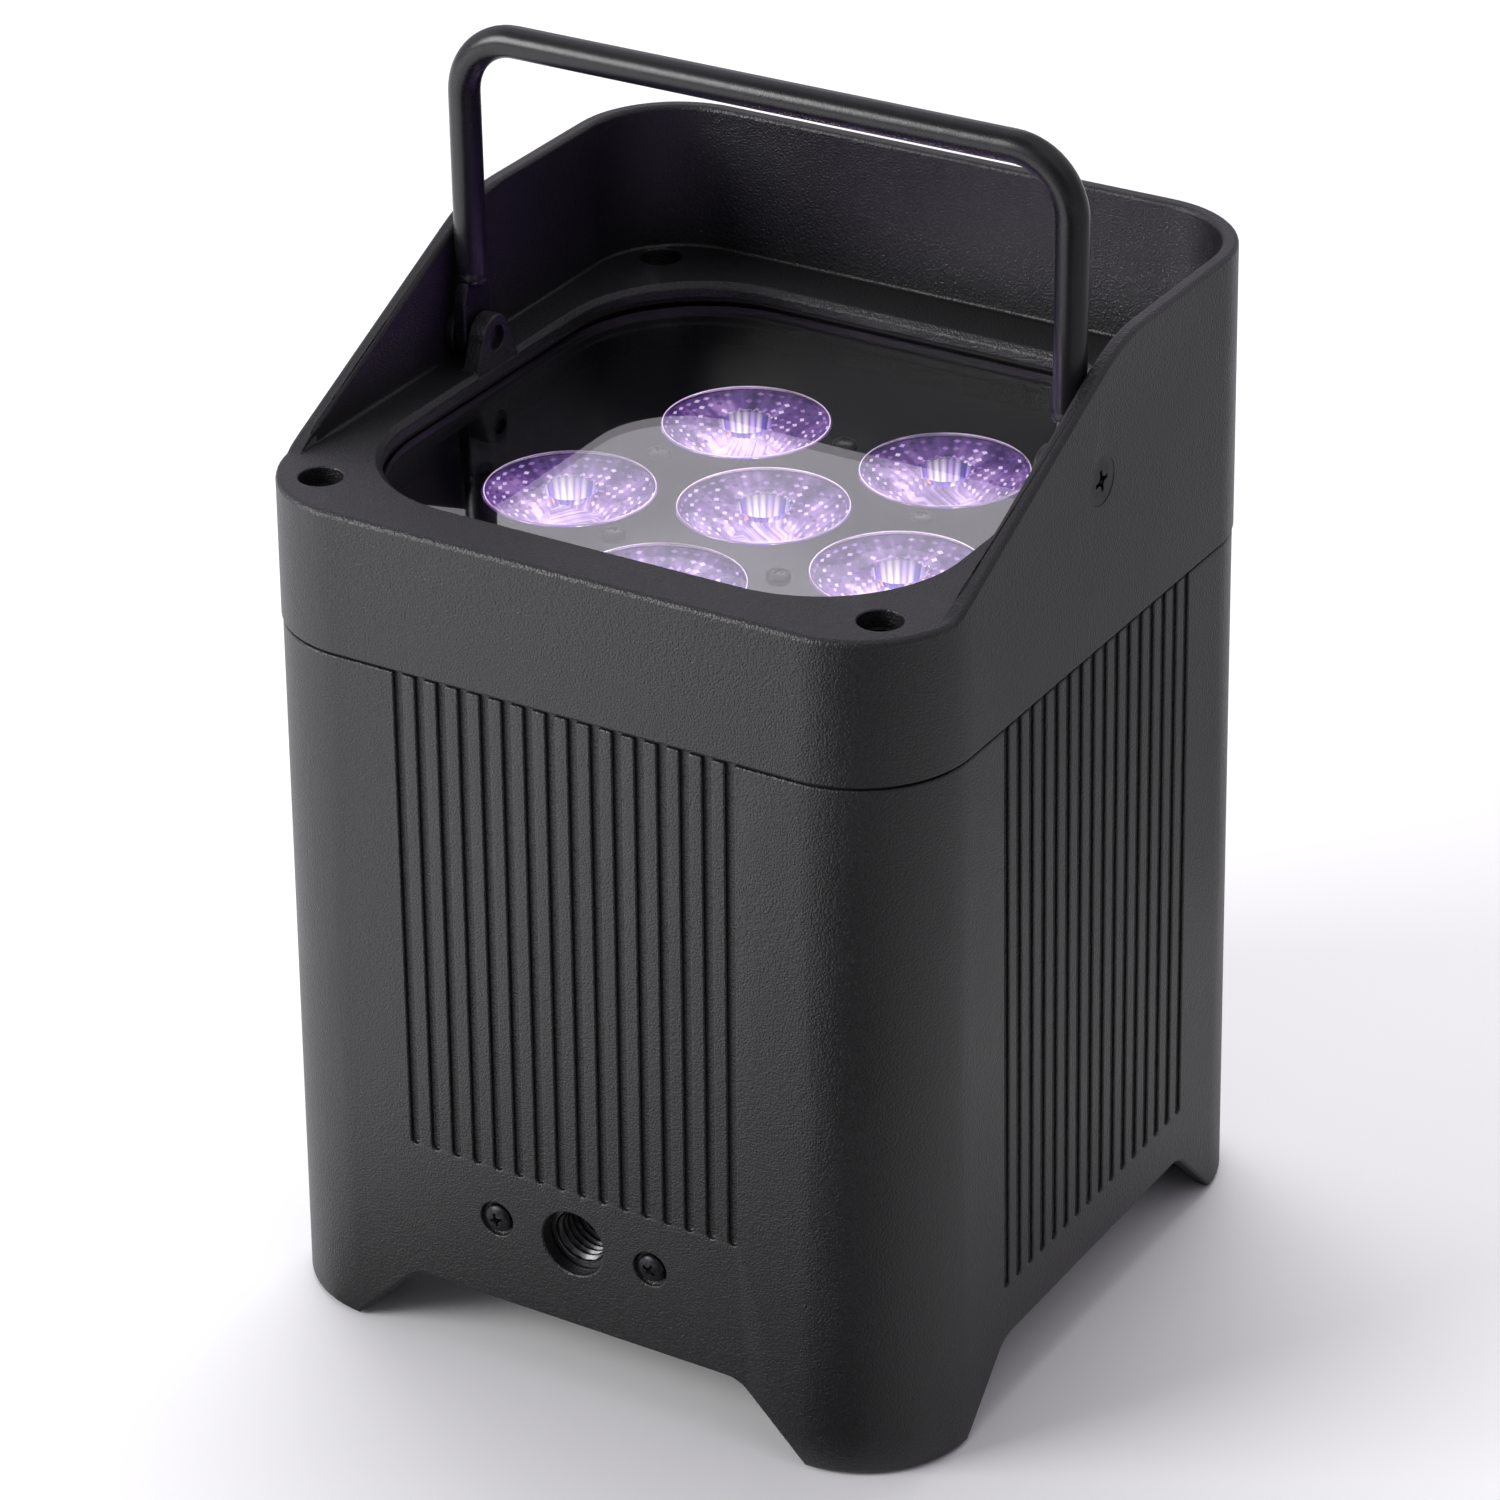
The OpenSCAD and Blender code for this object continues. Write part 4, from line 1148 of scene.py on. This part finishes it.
def make_display():
    """Three plain digits and a row of charge bars behind the window's gloss face."""
    low, high = box_mm("display_window")
    y = high.y
    middle = (low + high) / 2
    bm = bmesh.new()
    for place, digit in zip(DIGIT_PLACES, "001"):
        for bar in DIGITS[digit]:
            xs = sorted(middle.x + place - x * DIGIT_HALF for x, z in DIGIT_BARS[bar])
            zs = sorted(middle.z + (z - 1) * DIGIT_BAR for x, z in DIGIT_BARS[bar])
            slab(bm, (xs[0] - INK, y, zs[0] - INK), (xs[1] + INK, y + 0.03, zs[1] + INK))
    for i in range(4):
        x = middle.x - 16.0 + i * 2.2
        slab(bm, (x, y, middle.z - 1.8), (x + 1.5, y + 0.03, middle.z + 1.8))
    face_outward(bm)
    new_piece("display_marks", bm, "display_window", [PANEL_LIGHT], smooth=False)


def outline_plate(bm, outline, y0, y1):
    """A thin plate from (x, z) points, in millimetres, between two depths."""
    back = [bm.verts.new(Vector((x, y0, z)) * MM) for x, z in outline]
    front = [bm.verts.new(Vector((x, y1, z)) * MM) for x, z in outline]
    bm.faces.new(back)
    bm.faces.new(front[::-1])
    for i in range(len(outline)):
        j = (i + 1) % len(outline)
        bm.faces.new((back[i], back[j], front[j], front[i]))


def make_button_marks():
    """A dot, two arrows and three bars, for the buttons from left to right."""
    arrow = [(-1.5, -0.9), (1.5, -0.9), (0, 1.5)]
    bar = [(-1.5, -0.25), (1.5, -0.25), (1.5, 0.25), (-1.5, 0.25)]
    bars = [[(x, z + rise) for x, z in bar] for rise in (-1.0, 0.0, 1.0)]
    dot = [(1.1 * math.cos(TAU * i / 20), 1.1 * math.sin(TAU * i / 20)) for i in range(20)]
    glyphs = {1: [dot], 2: [[(x, -z) for x, z in arrow]], 3: [arrow], 4: bars}
    for i, shapes in glyphs.items():
        low, high = box_mm(f"button_{i}")
        middle = (low + high) / 2
        bm = bmesh.new()
        for shape in shapes:
            outline = [(middle.x + x, middle.z + z) for x, z in shape]
            outline_plate(bm, outline, high.y - 0.02, high.y + 0.04)
        face_outward(bm)
        new_piece(f"button_{i}_mark", bm, f"button_{i}", [MARK], smooth=False)


PIN_CIRCLE = 5.2


def make_socket_insert():
    """One moulding with three pin sockets, in place of the CAD's three sectors."""
    low, high = box_mm("dmx_out_insert")
    centre = (low + high) / 2
    front = box_mm("dmx_out_sector_1")[1].y
    radius = (high.x - low.x) / 2
    tall = front - high.y
    bm = bmesh.new()
    profile = [(radius, 0.0), (radius, tall - 0.4), (radius - 0.4, tall)]
    lathe(bm, profile, (centre.x, high.y, centre.z), "Y", 64)
    sockets = bmesh.new()
    for angle in (-60, 60, 180):
        a = math.radians(angle)
        place = (centre.x + PIN_CIRCLE * math.sin(a), front, centre.z + PIN_CIRCLE * math.cos(a))
        lathe(sockets, [(1.3, -11.0), (1.3, -0.35), (2.0, 0.35)], place, "Y", 24)
    sectors = [f"dmx_out_sector_{i}" for i in range(1, 4)]
    new_piece("signal_out_insert", cut(bm, sockets), "dmx_out_insert", [PLASTIC], sectors)


make_display()
make_button_marks()
make_socket_insert()

for name, obj in nodes.items():
    obj.data.materials.clear()
    obj.data.materials.append(SLOT_LOOKS[SLOTS[name]])


# ---- stage ----

CARD_HEIGHT = 0.0004
# Painted reflections: the cards darken the object's reflections of the floor, one nearly black in front of
# the front-right corner.
CARDS = (
    # from and to, in degrees from -Y towards +X, then the near and far reach in metres and the grey
    (-8, 32, 0.03, 1.6, 0.02),
    (32, 60, 0.03, 0.24, 0.42),
    (32, 60, 0.24, 1.6, 0.26),
    (60, 90, 0.03, 0.24, 0.66),
    (60, 90, 0.24, 1.6, 0.38),
    (90, 172, 0.03, 0.24, 0.74),
    (90, 172, 0.24, 1.6, 0.42),
    (-78, -8, 0.03, 0.15, 0.42),
)
LENS_POWER = 0.10
LENS_LIGHT_PLACE = (0, -0.004, 0.1835)
WORLD_BASE = 0.62


def look_along(azimuth, elevation=0.0):
    """A direction from the object, as degrees from -Y towards +X and degrees above the horizon."""
    a, e = math.radians(azimuth), math.radians(elevation)
    return Vector((math.sin(a) * math.cos(e), -math.cos(a) * math.cos(e), math.sin(e)))


WORLD_LOBES = (
    # direction, radiance added, dot where it starts, dot where it is full
    (look_along(211, 25), 0.85, 0.972, 0.9965),
    (look_along(222, 34), -0.22, 0.60, 0.95),
    (look_along(255, 45), 0.36, 0.75, 0.97),
    (look_along(28, 18), -0.50, 0.76, 0.97),
    (look_along(-46, 55), -0.52, 0.78, 0.97),
    (look_along(100, 10), -0.30, 0.60, 0.95),
)


def make_floor():
    look = Look("pale_floor")
    look.color(look.noise(3.0, 3.0), [(0.3, (0.90, 0.90, 0.905)), (0.7, (0.93, 0.93, 0.93))])
    look.set(roughness=0.6)
    bm = bmesh.new()
    bmesh.ops.create_grid(bm, x_segments=2, y_segments=2, size=6.0)
    object_from(bm, "floor", [look.material])


def make_cards():
    """Cards on the floor round the set, seen only in reflections, where they paint darker reflections than
    the pale floor gives.
    """
    corner = Vector((HALF_CORNER * MM, -HALF_CORNER * MM, CARD_HEIGHT))
    for i, (start, end, near, far, grey) in enumerate(CARDS):
        look = Look(f"card_{i}")
        look.color(look.noise(20.0), [(0.3, (grey * 0.9,) * 3), (0.7, (grey, grey * 0.985, grey * 0.96))])
        look.set(roughness=0.9, specular_ior_level=0.0)
        ways = [look_along(start + (end - start) * k / 6) for k in range(7)]
        outline = [corner + way * near for way in ways] + [corner + way * far for way in reversed(ways)]
        bm = bmesh.new()
        bm.faces.new([bm.verts.new(point) for point in outline])
        card = object_from(bm, f"card_{i}", [look.material])
        card.visible_camera = False
        card.visible_diffuse = False
        card.visible_shadow = False
        card.visible_transmission = False


def make_camera():
    data = bpy.data.cameras.new("camera")
    data.lens = CAMERA_LENS
    data.clip_start = 0.05
    camera = bpy.data.objects.new("camera", data)
    away = look_along(CAMERA_AZIMUTH, CAMERA_ELEVATION)
    camera.location = CAMERA_TARGET + CAMERA_DISTANCE * away
    turn = away.to_track_quat("Z", "Y") @ Quaternion((0, 0, 1), math.radians(CAMERA_ROLL))
    camera.rotation_euler = turn.to_euler()
    bpy.context.scene.collection.objects.link(camera)
    bpy.context.scene.camera = camera


def softbox(name, place, aim, size, power):
    data = bpy.data.lights.new(name, "AREA")
    data.shape = "RECTANGLE"
    data.size, data.size_y = size
    data.energy = power
    light = bpy.data.objects.new(name, data)
    light.location = place
    light.rotation_euler = (Vector(place) - Vector(aim)).to_track_quat("Z", "Y").to_euler()
    bpy.context.scene.collection.objects.link(light)
    return light


def make_lens_light():
    """The lenses' violet light on the handle and the hood; the glass would block its shadow rays."""
    data = bpy.data.lights.new("lens_light", "AREA")
    data.shape = "DISK"
    data.size = 0.10
    data.energy = LENS_POWER
    data.color = (0.42, 0.12, 1.0)
    light = bpy.data.objects.new("lens_light", data)
    light.location = LENS_LIGHT_PLACE
    light.rotation_euler = (math.pi, 0, 0)
    light.visible_camera = False
    light.visible_glossy = False
    bpy.context.scene.collection.objects.link(light)


def make_world():
    """An even pale sky with soft lobes of more or less light in it."""
    world = bpy.data.worlds.new("studio")
    bpy.context.scene.world = world
    world.use_nodes = True
    sky = Tree(world.node_tree)
    way = sky.add("ShaderNodeTexCoord").outputs["Generated"]
    total = WORLD_BASE
    for direction, amount, start, full in WORLD_LOBES:
        dot = sky.add("ShaderNodeVectorMath", operation="DOT_PRODUCT")
        dot.inputs[1].default_value = direction
        sky.link(way, dot.inputs[0])
        lobe = sky.remap(dot.outputs["Value"], 0.0, amount, start, full, "SMOOTHSTEP")
        total = sky.math("ADD", lobe, total)
    background = world.node_tree.nodes["Background"]
    sky.link(total, background.inputs["Strength"])
    background.inputs["Color"].default_value = (1.02, 0.975, 1.08, 1.0)


make_floor()
make_cards()
make_camera()
make_world()
make_lens_light()
OBJECT_MIDDLE = (0, 0, 0.12)
softbox("key_left", (-1.25, -1.35, 0.95), OBJECT_MIDDLE, (1.0, 0.9), 30)
softbox("top", (-0.5, 0.9, 2.1), OBJECT_MIDDLE, (1.8, 1.2), 34).visible_glossy = False
bpy.context.scene.view_settings.view_transform = "Standard"
